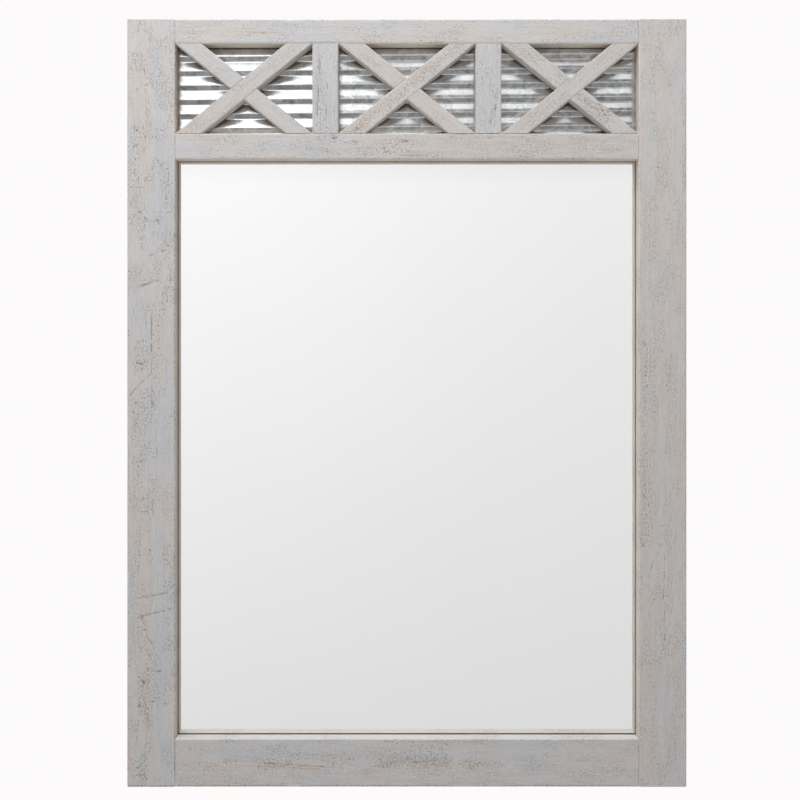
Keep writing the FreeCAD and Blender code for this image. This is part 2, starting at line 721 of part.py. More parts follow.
def hanger_ring(side):
    """A ring of wire with bent corners that hangs from its bar and leans on the strap."""
    reference = (f"{SIDES[side]} * hanger_x", "ring_axis_y", "ring_axis_z")
    piece = Piece(f"{side}_hanger_ring", *reference)
    piece.body.Placement.Rotation = FreeCAD.Rotation(X_AXIS, 1)
    lean = "asin((strap_thickness + ring_rest_gap - ring_play) / ring_strap_reach)"
    piece.body.setExpression("Placement.Rotation.Angle", bound(lean))
    side = [("ring_half_width", "0"), ("ring_half_width", "-ring_leg"),
            ("ring_seat_width / 2", "-ring_reach")]
    other_side = [(f"-{u}", v) for u, v in reversed(side)]
    path = outline(piece.sketch("XZ_Plane", *reference), [("0", "0"), *side, *other_side])
    wire = circle(piece.sketch("YZ_Plane", *reference), ("0", "0"), "wire_diameter")
    pipe = piece.body.newObject("PartDesign::AdditivePipe", "Wire")
    pipe.Profile = wire
    pipe.Spine = (path, [])
    pipe.Transition = "Right corner"
    return piece.body


def fasteners():
    """The tenons, brads, retaining points, screws and bumpers, as groups of like pieces."""
    tenon_body = tenon()
    rail_tenons = [(f"{sign} * opening_width / 2", "tenon_plane", height, AS_MADE)
                   for name in RAILS for sign in SIDES.values() for height in rail_tenon_heights(name)]
    mullion_tenons = [(mullion_middle(side), "tenon_plane", edge, ON_END)
                      for side in MULLION_X for edge in ("panel_top", "panel_bottom")]
    point_places = [place for side in SIDES for place in stile_point_places(side)]
    point_places += [place for name in POINT_WALLS for place in rail_point_places(name)]
    points = [(x, "point_back", z, FreeCAD.Rotation(Y_AXIS, POINT_TURNS[bite]))
              for x, z, bite in point_places]
    strap_screws = [(f"{sign} * hanger_x", "back_plane + 2 * strap_thickness", height, FACING_BACK)
                    for sign in SIDES.values() for height in STRAP_SCREW_HEIGHTS]
    bumper_heights = ("frame_top - bumper_inset", "frame_bottom + bumper_inset")
    bumpers = [(f"{sign} * bumper_x", "back_plane", height, FACING_BACK)
               for sign in SIDES.values() for height in bumper_heights]
    # a brace's edge stands this far from the rail where its brad goes in
    entry = f"({BRAD_SHARE} * brace_cut * brace_slope - brad_set)"
    middle = "brace_back - brace_thickness / 2"
    end_brads = []
    lap_brads = []
    for panel in PANEL_X:
        for foot, head in brad_places(panel).values():
            end_brads.append((foot, middle, f"panel_bottom + {entry}", AS_MADE))
            end_brads.append((head, middle, f"panel_top - {entry}", UPSIDE_DOWN))
        lap_brads.append((panel_middle(panel), "front_plane + brad_set", "sheet_z", DRIVEN_FROM_FRONT))
    return [
        group("rail_tenons", tenon_body, rail_tenons),
        group("mullion_tenons", tenon_body, mullion_tenons),
        group("brace_end_brads", brad("end_brad", "end_brad_length"), end_brads),
        group("brace_lap_brads", brad("lap_brad", "lap_brad_length"), lap_brads),
        group("retaining_points", retaining_point(), points),
        group("hanger_screws", screw(), strap_screws),
        group("wall_bumpers", bumper(), bumpers),
    ]


def build():
    """Make every sub-part of the mirror."""
    parts = [stile(side) for side in SIDES]
    parts += [rail(name) for name in RAILS]
    parts += [mullion(side) for side in MULLION_X]
    parts += [brace(panel, lean) for panel in PANEL_X for lean in BRACE_OUTLINES]
    parts += [corrugated_sheet(), mirror_glass(), backing_board()]
    parts += [make(side) for side in SIDES for make in (hanger_strap, hanger_ring)]
    return parts + fasteners()


def check(parts):
    """Stop if a feature failed, a pocket cut nothing or a sub-part's shape is not sound."""
    for item in doc.Objects:
        if {"Invalid", "Error"} & set(item.State):
            raise RuntimeError(f"{item.Label} failed: {item.State}")
        if item.TypeId == "PartDesign::Pocket" and item.Shape.Volume >= item.BaseFeature.Shape.Volume:
            raise RuntimeError(f"{item.Label} of {item.getParentGeoFeatureGroup().Label} cuts nothing")
    for part in parts:
        if part.Shape.isNull() or not part.Shape.isValid() or not part.Shape.Solids:
            raise RuntimeError(f"{part.Label} has no sound shape")


def export(parts):
    os.makedirs("parts", exist_ok=True)
    for part in parts:
        part.Shape.exportStep(f"parts/{part.Label}.step")


write_sheet()
doc.recompute()
write_derived()
doc.recompute()
sub_parts = build()
doc.recompute()
check(sub_parts)
export(sub_parts)
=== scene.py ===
"""Looks of a framed wall mirror: a whitewashed plank frame, X braces over corrugated steel, silvered glass.

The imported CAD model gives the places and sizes. The boards, the sheet, the glass and the fittings are built
again here with the relief of the real ones, and the CAD nodes that stay get materials.
"""

import json
import math
from collections import namedtuple

import bpy
import numpy as np
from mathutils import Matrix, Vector


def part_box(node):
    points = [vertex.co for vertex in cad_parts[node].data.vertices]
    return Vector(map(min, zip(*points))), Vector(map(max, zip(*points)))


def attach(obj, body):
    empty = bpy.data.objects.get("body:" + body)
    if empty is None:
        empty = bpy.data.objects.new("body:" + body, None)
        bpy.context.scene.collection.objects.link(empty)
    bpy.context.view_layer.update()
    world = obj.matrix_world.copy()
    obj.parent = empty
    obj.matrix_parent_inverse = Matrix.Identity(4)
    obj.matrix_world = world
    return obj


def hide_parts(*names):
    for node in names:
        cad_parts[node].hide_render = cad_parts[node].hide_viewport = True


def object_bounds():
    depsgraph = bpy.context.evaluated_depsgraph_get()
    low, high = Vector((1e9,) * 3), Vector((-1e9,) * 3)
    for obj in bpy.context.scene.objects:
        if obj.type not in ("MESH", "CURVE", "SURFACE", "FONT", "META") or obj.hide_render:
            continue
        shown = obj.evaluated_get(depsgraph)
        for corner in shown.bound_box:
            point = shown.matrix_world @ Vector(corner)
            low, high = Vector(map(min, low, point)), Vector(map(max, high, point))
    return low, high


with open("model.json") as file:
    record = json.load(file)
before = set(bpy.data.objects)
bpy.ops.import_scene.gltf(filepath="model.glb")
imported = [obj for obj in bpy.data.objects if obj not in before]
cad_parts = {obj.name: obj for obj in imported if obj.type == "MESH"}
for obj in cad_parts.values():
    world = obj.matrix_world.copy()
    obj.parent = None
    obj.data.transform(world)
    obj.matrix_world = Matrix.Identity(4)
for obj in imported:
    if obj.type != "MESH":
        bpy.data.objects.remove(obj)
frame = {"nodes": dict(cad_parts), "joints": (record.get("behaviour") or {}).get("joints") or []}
CAD_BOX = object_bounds()
GLASS_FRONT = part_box("mirror_glass")[0].y
SHEET_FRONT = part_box("left_mullion")[1].y

MM = 0.001

# The photograph: its side in pixels, and what its middle shows on the front face
PHOTO_SIDE = 800
PIXEL_SIZE = 1.190 * MM
PHOTO_MIDDLE_X = -8.2 * MM
PHOTO_MIDDLE_Z = -273.4 * MM
CAMERA_DISTANCE = 1496 * MM
CAMERA_SHIFT = -0.045

# Spacing of the boards' points, and how far their edges are eased
FRONT_PITCH = 1.2 * MM
RING_PITCH = 1.3 * MM
SIDE_PITCH = 3.2 * MM
BACK_PITCH = 5.0 * MM
ARRIS_RADIUS = 1.4 * MM
ARRIS_STEPS = 3
END_EASE = 0.5 * MM
STEP_GAP = 0.1 * MM
LIP_EASE = 0.3 * MM

# Depths of the boards' relief, and how far from the face or a long edge its marks reach, in millimetres
HOLLOW_DEPTH = 0.14
FIBRE_DEPTH = 0.12
TOOTH_DEPTH = 0.08
RIDGE_DEPTH = 0.26
PIT_DEPTH = 0.5
CRACK_DEPTH = 0.9
WEAR_DEPTH = 0.15
ARRIS_DEPTH = 0.1
CHIP_DEPTH = 0.45
FACE_REACH = 1.6
ARRIS_REACH = 1.3

# How rough a board is outside its rough stretches, how strong its wear is, and how warm a sawn stretch is
PLAIN_ROUGHNESS = 0.44
WEAR_STRENGTHS = {"dots": 0.56, "wear": 1.0}
SAWN_WARMTH = 0.14

# Shares of cream, white and tan on a board's side, and the depths in millimetres over which the tan grows
# towards the lip. The white is painted light on a face that looks up, and the tan is painted shade on a face
# turned from the light
PLAIN_SIDE = (0.0, 0.0, 0.0)
# The cream is a creamier wash, made brighter than the face's to stand in for light on the sides: partly
# painted light
CREAM_AND_LIGHT_SIDE = (1.0, 0.0, 0.0)
BRACE_CREAM_AND_LIGHT_SIDE = (0.5, 0.0, 0.0)
LIT_TOP_SIDE = (0.0, 0.9, 0.0)
SHADED_INNER_SIDE = (1.0, 0.0, 0.4)
PAINTED_SHADE_DEPTHS = (8.0, 19.0)

# Millimetres along and across the grain from one board's stretch of timber to the next one's
GRAIN_STEP = 400
ACROSS_STEP = 90

# Sizes that the frame's boxes don't give
RABBET_LIP = 8 * MM
BRACE_END_CUT = 31.7 * MM
WAVE_PITCH = 17.3 * MM
WAVE_TILT = math.radians(0.449)
WAVE_CREST = 10.8 * MM
SHEET_THICKNESS = 0.5 * MM
SHEET_SEED = 71
DENT_LENGTH = 70 * MM
DENT_HEIGHT = 35 * MM
DENT_SHARE = 0.04
# Share of a wave above its crest, and how many degrees the sheet falls back there
WAVE_SLOPES = ((0.0, 0.0), (0.02, 5.0), (0.15, 7.0), (0.22, 12.5), (0.56, 12.5), (0.64, -17.0), (0.95, -17.0),
               (1.0, 0.0))
SILVER_DEPTH = 2.6 * MM
SILVER_RIM = 4.5 * MM
RING_WIRE = 3.0 * MM
RING_LEAN = math.radians(6.56)
RING_HALF_WIDTH = 9.5 * MM
RING_LEG = 6.0 * MM
RING_REACH = 15.0 * MM
RING_SEAT = 9.0 * MM
RING_BEND = 2.6 * MM
SCREW_HEIGHTS = (-35 * MM, -49 * MM)
SCREW_HEAD = 7.0 * MM
SCREW_SHANK = 3.0 * MM
SCREW_TIP = 0.4 * MM
SCREW_POINT = 4 * MM
SCREW_RIM = 0.5 * MM
DOME_POWER = 2.2
STRAP_FOLD = 2 * MM
CROSS_ARM = 0.6 * MM
CROSS_REACH = 1.9 * MM
CROSS_DEPTH = 0.9 * MM
BUMPER_WIDTH = 13.0 * MM
BUMPER_EASE = 1.8 * MM
BUMPER_FLARE = 0.6 * MM
BUMPER_FOOT_SHARE = 0.97
# The dished end of a bumper: share of its radius, and depth
BUMPER_DISH = ((0.45, 0.1 * MM), (0.3, 0.5 * MM))

# Fineness of the sheet, the fittings and the floor
SHEET_STEP = 5 * MM
WAVE_STEP = 0.6 * MM
WAVE_SAMPLES = 501
BEND_STEPS = 6
WIRE_SIDES = 16
TURNED_SIDES = 48
EASE_STEPS = 6
DOME_SHARES = np.linspace(0.95, 0.05, 16)
FLOOR_SIDES = 96

# Colours
BLUE_WASH = (0.537, 0.541, 0.561)
GREY_WASH = (0.567, 0.557, 0.554)
PINK_WASH = (0.572, 0.540, 0.523)
# Pale wash of the fibres, also painted highlights on the grit
PALE_WASH_AND_HIGHLIGHT = (0.720, 0.714, 0.706)
# Painted light: the white of a side that looks up
PAINTED_LIGHT_WASH = (0.800, 0.790, 0.775)
# The creamier wash of the sides, made brighter as partly painted light
CREAM_AND_LIGHT_WASH = (0.800, 0.738, 0.664)
# Tan of bare wood where the wash is worn, also painted shade on a shaded side
TAN_WEAR_AND_SHADE = (0.370, 0.250, 0.155)
SAW_LINE = (0.330, 0.265, 0.215)
# Brown of the pits, made darker as painted shade
PIT_BROWN_AND_SHADE = (0.250, 0.205, 0.165)
# Dark grain, also painted shade on the rabbet floors round the mirror
DARK_GRAIN_AND_SHADE = (0.165, 0.138, 0.115)
PALE_SOFTWOOD = (0.600, 0.440, 0.270)
DEEP_SOFTWOOD = (0.430, 0.280, 0.150)
DARK_ZINC = (0.480, 0.498, 0.515)
PALE_ZINC = (0.690, 0.698, 0.706)
ZINC_BLOOM = (0.630, 0.630, 0.625)
RUST = (0.26, 0.20, 0.13)
DIM_SILVER = (0.938, 0.940, 0.938)
CLEAR_SILVER = (0.948, 0.949, 0.947)
DARK_FIBRE = (0.200, 0.118, 0.066)
BROWN_FIBRE = (0.290, 0.185, 0.110)
PALE_FIBRE = (0.400, 0.280, 0.180)
FIBRE_CLOUD = (0.22, 0.135, 0.08)
BEECH_FLECK = (0.48, 0.30, 0.17)
PALE_BEECH = (0.66, 0.47, 0.30)
BLACK_RUBBER = (0.022, 0.022, 0.023)
DUSTY_RUBBER = (0.075, 0.072, 0.068)
DARK_FLOOR = (0.78, 0.77, 0.77)
PALE_FLOOR = (0.82, 0.81, 0.81)
BACKDROP = (0.974, 0.956, 0.965)
AMBIENT_TINT = (1.0, 0.99, 0.98)

# The floor, in metres, and the light that falls from all round, where 1 is white
FLOOR_HEIGHT = -1.65
FLOOR_RADIUS = 2.2
FLOOR_FADE = 1.2
AMBIENT_FRONT = 0.10
AMBIENT_BACK = 0.90
AMBIENT_TURN = (-0.3, 0.3)
FRONT_FILL = 1.03
FILL_SPREAD = (0.35, 1.0)
FILL_WAY = (0.0, -0.906, -0.423)

# What shows in reflections: brightness at each sine of the height above the horizon
REFLECTED_STOPS = ((-1.0, 0.30), (-0.316, 0.15), (-0.286, 0.757), (0.14, 0.955), (0.165, 0.87), (0.24, 0.30),
                   (0.45, 0.30), (0.6, 0.85), (1.0, 0.85))
# A slant across it and a bright window high up: ways to the right or up between which they change, and levels
SLANT = (-0.25, 0.25, 0.14, -0.14)
SLANT_LIFT = 0.4
WINDOW_FOOT = (0.5, 0.58)
WINDOW_HEAD = (0.85, 0.72)
WINDOW_SIDES = (-0.15, 0.12, 1.2, 0.75)

# The lamps, in metres; a lamp that isn't reflected lights surfaces without showing in them
Lamp = namedtuple("Lamp", "name place aim width height radiance reflected")
LAMPS = (
    Lamp("overhead_softbox", (-0.33, -0.6, 1.1), (-0.33, -0.599, 0.0), 1.35, 1.7, 3.6, False),
    Lamp("left_softbox", (-0.51, -2.2, 0.98), (-0.51, 0.0, 0.98), 0.42, 1.2, 3.5, True),
)


# Repeatable noise for the relief

COLUMN_FACTOR = 374761393
ROW_FACTOR = 668265263
SEED_FACTOR = 974634777
MIX_FACTOR = 1274126177
WORD = 0xFFFFFFFF
HALF_WORD = 0x7FFFFFFF


def corner_value(column, row, seed):
    """A repeatable random number from -1 to 1 for each corner of a lattice."""
    mixed = (column * COLUMN_FACTOR + row * ROW_FACTOR + seed * SEED_FACTOR) & WORD
    mixed = ((mixed ^ (mixed >> 13)) * MIX_FACTOR) & WORD
    mixed ^= mixed >> 16
    return mixed / HALF_WORD - 1.0


def noise(across, along, seed):
    """Smooth noise from -1 to 1 whose cells are one unit wide."""
    column = np.floor(across).astype(np.int64)
    row = np.floor(along).astype(np.int64)
    x = across - column
    y = along - row
    x = x * x * (3 - 2 * x)
    y = y * y * (3 - 2 * y)
    low = corner_value(column, row, seed) * (1 - x) + corner_value(column + 1, row, seed) * x
    high = corner_value(column, row + 1, seed) * (1 - x) + corner_value(column + 1, row + 1, seed) * x
    return low * (1 - y) + high * y


def layered_noise(across, along, seed, layers):
    """Noise with finer layers added, each half as wide and half as strong."""
    total = np.zeros(np.broadcast(across, along).shape)
    for layer in range(layers):
        finer = 2**layer
        total += noise(across * finer, along * finer, seed + layer) / finer
    return total


def rise(values, low, high):
    """A smooth step from 0 at low to 1 at high."""
    share = np.clip((values - low) / (high - low), 0, 1)
    return share * share * (3 - 2 * share)


# Meshes and pieces


def volume(vertices, faces):
    """A volume in arbitrary units that the faces close in, negative where they face inward."""
    corners = np.array([face[:3] for face in faces])
    first, second, third = (vertices[corners[:, index]] for index in range(3))
    return np.einsum("ij,ij->", first, np.cross(second, third))


def make_piece(name, vertices, faces, material, replaced, body="frame", crease=35):
    """A closed mesh that faces outward, rides on a body and stands for CAD nodes."""
    vertices = np.asarray(vertices, float)
    if volume(vertices - vertices.mean(0), faces) < 0:
        faces = [tuple(reversed(face)) for face in faces]
    mesh = bpy.data.meshes.new(name)
    mesh.from_pydata(vertices.tolist(), [], faces)
    mesh.shade_smooth()
    mesh.set_sharp_from_angle(angle=math.radians(crease))
    mesh.materials.append(material)
    piece = bpy.data.objects.new(name, mesh)
    bpy.context.scene.collection.objects.link(piece)
    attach(piece, body)
    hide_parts(*replaced)
    return piece


def store(piece, name, values):
    """Keeps one vector for each vertex, for the materials to read."""
    layer = piece.data.attributes.new(name, "FLOAT_VECTOR", "POINT")
    layer.data.foreach_set("vector", np.asarray(values, np.float32).ravel())


def grid_faces(rows, columns, first=0):
    """Quads between loops of points that are stored row by row."""
    faces = []
    for row in range(rows - 1):
        start = first + row * columns
        for column in range(columns):
            after = (column + 1) % columns
            faces.append((start + column, start + after, start + columns + after, start + columns + column))
    return faces


def closed_loops(groups):
    """Vertices and faces of several stacks of loops, each closed at both ends."""
    vertices, faces = [], []
    for loops in groups:
        rows, columns = loops.shape[:2]
        first = len(vertices)
        faces += grid_faces(rows, columns, first)
        faces.append(tuple(first + index for index in reversed(range(columns))))
        faces.append(tuple(first + (rows - 1) * columns + index for index in range(columns)))
        vertices += loops.reshape(-1, 3).tolist()
    return vertices, faces


def spread(start, end, pitch):
    """Even steps from start to end, about pitch apart."""
    steps = max(1, round(abs(end - start) / pitch))
    return np.linspace(start, end, steps + 1)


# Boards, each swept along its grain ring by ring

# left and right hold each ring's two ends as (x, z), and picks says which of the sections each ring has.
# tone is how warm the wash is at the left and right edge, and sides the shares of cream, painted light and
# painted shade on the two side faces.
# rough has stretches from, to across and from, to along the grain; sawn has from, to along it and a strength.
Board = namedtuple("Board", "name left right sections picks grain seed tone sides rough sawn")
Knot = namedtuple("Knot", "grain across radius strength")


def rabbet_points(depth, rabbet):
    """The corner of a section at the back, as (in from the edge, depth) from the side to the back face."""
    if rabbet is None:
        return [(0, depth)]
    if rabbet == 0:
        return [(0, depth), (LIP_EASE, depth), (RABBET_LIP / 2, depth), (RABBET_LIP, depth)]
    floor = depth - rabbet
    return [(0, floor), (LIP_EASE, floor), (RABBET_LIP, floor), (RABBET_LIP, depth)]


def section(width, depth, left_rabbet=None, right_rabbet=None):
    """A board's section as points (across, depth), from the front left corner round by the right side.

    A rabbet is given by its depth, None where there is none and 0 where its points lie flat in the back.
    """
    turn = np.linspace(0, math.pi / 2, ARRIS_STEPS + 1)
    left_arris = [(ARRIS_RADIUS * (1 - math.cos(a)), ARRIS_RADIUS * (1 - math.sin(a))) for a in turn]
    right_arris = [(width - across, deep) for across, deep in reversed(left_arris)]
    right_back = [(width - inset, deep) for inset, deep in rabbet_points(depth, right_rabbet)]
    left_back = rabbet_points(depth, left_rabbet)[::-1]
    side_steps = max(2, round(depth / SIDE_PITCH))
    back_steps = max(2, round(width / BACK_PITCH))
    runs = [(right_back[0], side_steps)]
    runs += [(corner, 2) for corner in right_back[1:]]
    runs += [(left_back[0], back_steps)]
    runs += [(corner, 2) for corner in left_back[1:]]
    runs += [(left_arris[0], side_steps)]
    points = list(left_arris)
    points += [(across, 0.0) for across in spread(left_arris[-1][0], right_arris[0][0], FRONT_PITCH)[1:-1]]
    points += right_arris
    for corner, steps in runs:
        start = np.array(points[-1])
        points += [tuple(start + (np.array(corner) - start) * step / steps) for step in range(1, steps + 1)]
    return np.array(points[:-1])


def unit(rows):
    """The rows as directions of length 1."""
    return rows / np.linalg.norm(rows, axis=1, keepdims=True)


def outward(points):
    """Unit directions out of a section's points."""
    along = unit(unit(np.roll(points, -1, 0) - points) + unit(points - np.roll(points, 1, 0)))
    return np.stack([along[:, 1], -along[:, 0]], 1)


def ring_stops(start, end, breaks=()):
    """Places of the rings along a board, closer at its ends and doubled at each break."""
    edges = (start, end, *breaks)
    stops = [place for place in spread(start, end, RING_PITCH)
             if all(abs(place - edge) > RING_PITCH / 2 for edge in edges)]
    stops += [start, start + END_EASE, end - END_EASE, end]
    for edge in breaks:
        stops += [edge - STEP_GAP, edge + STEP_GAP]
    return np.array(sorted(stops))


def upright_ends(low, high, heights):
    """The left and right ends of an upright's rings."""
    return [np.stack([np.full_like(heights, x), heights], 1) for x in (low.x, high.x)]


def stile(name, seed, tone, inner_on_left, inner_side, rough=(), sawn=()):
    """An upright of the frame, with the rabbets of the glass and the sheet along its inner edge."""
    low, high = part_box(name)
    bottom, middle, top = (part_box(rail_name) for rail_name in ("bottom_rail", "middle_rail", "top_rail"))
    glass_span = bottom[1].z - RABBET_LIP, middle[0].z + RABBET_LIP
    sheet_span = middle[1].z - RABBET_LIP, top[0].z + RABBET_LIP
    side = "left_rabbet" if inner_on_left else "right_rabbet"
    rabbets = (0, high.y - GLASS_FRONT, high.y - SHEET_FRONT)
    sections = [section(high.x - low.x, high.y - low.y, **{side: rabbet}) for rabbet in rabbets]
    heights = ring_stops(low.z, high.z, (*glass_span, *sheet_span))
    picks = np.zeros(len(heights), int)
    picks[(heights > glass_span[0]) & (heights < glass_span[1])] = 1
    picks[(heights > sheet_span[0]) & (heights < sheet_span[1])] = 2
    left, right = upright_ends(low, high, heights)
    sides = (inner_side, PLAIN_SIDE) if inner_on_left else (PLAIN_SIDE, inner_side)
    return Board(name, left, right, sections, picks, (0.0, 1.0), seed, tone, sides, rough, sawn)


def rail(name, seed, tone, sides, lower_front=None, upper_front=None, rough=(), sawn=()):
    """A cross board between the stiles; a front is where the rabbet along that edge begins, in depth."""
    low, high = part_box(name)
    lower, upper = (None if front is None else high.y - front for front in (lower_front, upper_front))
    sections = [section(high.z - low.z, high.y - low.y, left_rabbet=lower, right_rabbet=upper)]
    places = ring_stops(low.x, high.x)
    left = np.stack([places, np.full_like(places, low.z)], 1)
    right = np.stack([places, np.full_like(places, high.z)], 1)
    picks = np.zeros(len(places), int)
    return Board(name, left, right, sections, picks, (1.0, 0.0), seed, tone, sides, rough, sawn)


def mullion(name, seed, tone, rough):
    """A short upright between the braced panels."""
    low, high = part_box(name)
    heights = ring_stops(low.z, high.z)
    left, right = upright_ends(low, high, heights)
    sections = [section(high.x - low.x, high.y - low.y)]
    picks = np.zeros(len(heights), int)
    sides = (BRACE_CREAM_AND_LIGHT_SIDE, BRACE_CREAM_AND_LIGHT_SIDE)
    return Board(name, left, right, sections, picks, (0.0, 1.0), seed, tone, sides, rough, ())


def meeting(start, way, other_start, other_way):
    """Share of the first way at which two lines of a panel cross."""
    return np.linalg.solve(np.stack([way, -other_way], 1), other_start - start)[0]


def brace(name, seed, tone, rising, rough=(), sawn=()):
    """One strip of an X, with level ends, halved where it crosses the other strip."""
    low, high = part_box(name)
    depth = high.y - low.y
    cut = np.array([BRACE_END_CUT, 0.0])
    feet = {True: np.array([low.x, low.z]), False: np.array([high.x, low.z]) - cut}
    heads = {True: np.array([high.x, high.z]) - cut, False: np.array([low.x, high.z])}
    foot, way = feet[rising], heads[rising] - feet[rising]
    other_foot, other_way = feet[not rising], heads[not rising] - feet[not rising]
    laps = [(meeting(foot, way, other_foot + shift, other_way),
             meeting(foot + cut, way, other_foot + shift, other_way)) for shift in (0 * cut, cut)]
    stops = np.array([(0.0, 0.0), *sorted(laps, key=sum), (1.0, 1.0)])
    run = np.linalg.norm(way)
    shares = [np.zeros((1, 2))]
    picks = [0]
    for start, end, pick in zip(stops[:-1], stops[1:], (0, 1, 0)):
        inset = END_EASE / run
        gap = STEP_GAP / run if pick else 0
        steps = spread(0, 1, RING_PITCH / (run * (end - start).mean()))[:, None]
        part = start + gap + (end - start - 2 * gap) * steps
        shares.append(np.clip(part, inset, 1 - inset))
        picks += [pick] * len(part)
    shares = np.concatenate([*shares, np.ones((1, 2))])
    picks.append(0)
    whole = section(BRACE_END_CUT, depth)
    halved = whole * (1, 0.5) + (0, 0 if rising else depth / 2)
    left = foot + way * shares[:, :1]
    right = foot + cut + way * shares[:, 1:]
    sides = (BRACE_CREAM_AND_LIGHT_SIDE, BRACE_CREAM_AND_LIGHT_SIDE)
    return Board(name, left, right, [whole, halved], picks, tuple(way / run), seed, tone, sides, rough, sawn)


def stroke(grain, across, ends, width):
    """1 on the line of a mark, fading to 0 beside it."""
    start, end = np.reshape(ends, (2, 2)).astype(float)
    line = end - start
    place = np.stack([grain - start[0], across - start[1]], -1)
    share = np.clip(place @ line / (line @ line), 0, 1)
    gap = np.linalg.norm(place - share[..., None] * line, axis=-1)
    return np.exp(-((gap / width) ** 2))


def own_marks(board, grain, across, deep):
    """Wear and cracks of one board's marks on its face, from 0 to 1; dots are wear in flecks."""
    wear = np.zeros_like(grain)
    crack = np.zeros_like(grain)
    ragged = 0.6 + 0.4 * noise(across / 2.5, grain / 5, board.seed + 41)
    for kind, marks in MARKS.get(board.name, {}).items():
        for *ends, width in marks:
            near = stroke(grain, across, ends, width)
            if kind == "crack":
                crack = np.maximum(crack, near * ragged)
            else:
                wear = np.maximum(wear, WEAR_STRENGTHS[kind] * near)
    for knot in KNOTS.get(board.name, ()):
        gap = np.hypot((grain - knot.grain) / 1.3, across - knot.across) / knot.radius
        rings = 0.65 + 0.35 * np.cos(gap * 9 + 2 * noise(across / 3, grain / 3, board.seed + 50))
        wear = np.maximum(wear, knot.strength * rings * np.exp(-(gap**2)))
        crack = np.maximum(crack, 0.7 * knot.strength * np.exp(-((gap * 2.6) ** 2)))
    on_face = np.exp(-((deep / FACE_REACH) ** 2))
    return wear * on_face, crack * on_face


def bent_grain(board, grain, across):
    """Places across a board, drawn together where the grain flows round a knot."""
    bent = across.copy()
    for knot in KNOTS.get(board.name, ()):
        gap = np.hypot((grain - knot.grain) / 2.2, across - knot.across) / knot.radius
        bent -= (across - knot.across) * 0.75 * np.exp(-((gap / 1.7) ** 2))
    return bent


def band(places, start, end, blur):
    """1 between start and end, fading to 0 over the blur."""
    return rise(places, start - blur, start + blur) * rise(-places, -end - blur, -end + blur)


def relief(board, grain, across, deep, edge, front):
    """How far a board's surface lies below its plain shape, and the marks there.

    Lengths are in millimetres; edge is the way to the nearest long edge and front is 1 on the face.
    """
    seed = board.seed
    bent = bent_grain(board, grain, across)
    wear, crack = own_marks(board, grain, across, deep)
    wander = 2.5 * noise(np.zeros_like(grain), grain / 35, seed + 3)
    rough = np.full_like(grain, PLAIN_ROUGHNESS)
    for start, end, foot, head in board.rough:
        rough = np.maximum(rough, band(across + wander, start, end, 5.0) * band(grain, foot, head, 20))
    rough *= rise(layered_noise(bent / 9, grain / 21, seed + 23, 3), -0.7, 0.7)
    sawn = np.zeros_like(grain)
    for start, end, strength in board.sawn:
        sawn = np.maximum(sawn, strength * band(grain, start, end, 25))
    hollows = 0.5 + 0.3 * layered_noise(bent / 15, grain / 95, seed + 5, 2)
    fibres = 0.5 + 0.3 * layered_noise(bent / 3.4, grain / 55, seed + 9, 2)
    teeth = 0.5 + 0.5 * noise(across / 20, (grain + 0.12 * across) / 1.6, seed + 13)
    ridges = 0.5 + 0.5 * noise(bent / 1.8, grain / 4.6, seed + 15)
    pits = rise(noise(bent / 1.7, grain / 3.0, seed + 17), 0.62 - 0.3 * rough, 0.95)
    below = HOLLOW_DEPTH * hollows + FIBRE_DEPTH * fibres + TOOTH_DEPTH * teeth * sawn
    below += rough * (RIDGE_DEPTH * ridges + PIT_DEPTH * pits)
    below = below * (0.35 + 0.65 * front) + CRACK_DEPTH * crack + WEAR_DEPTH * wear
    chips = rise(layered_noise(np.full_like(grain, 0.5), grain / 19, seed + 21, 3), 0.1, 1.2)
    near_arris = np.exp(-((np.maximum(deep, edge) / ARRIS_REACH) ** 2))
    below += near_arris * (ARRIS_DEPTH + CHIP_DEPTH * chips)
    wear = np.maximum(wear, 0.5 * near_arris * chips)
    crack = np.maximum(crack, 0.75 * pits * rough)
    return np.maximum(below, 0), bent, wear, crack, rough, sawn


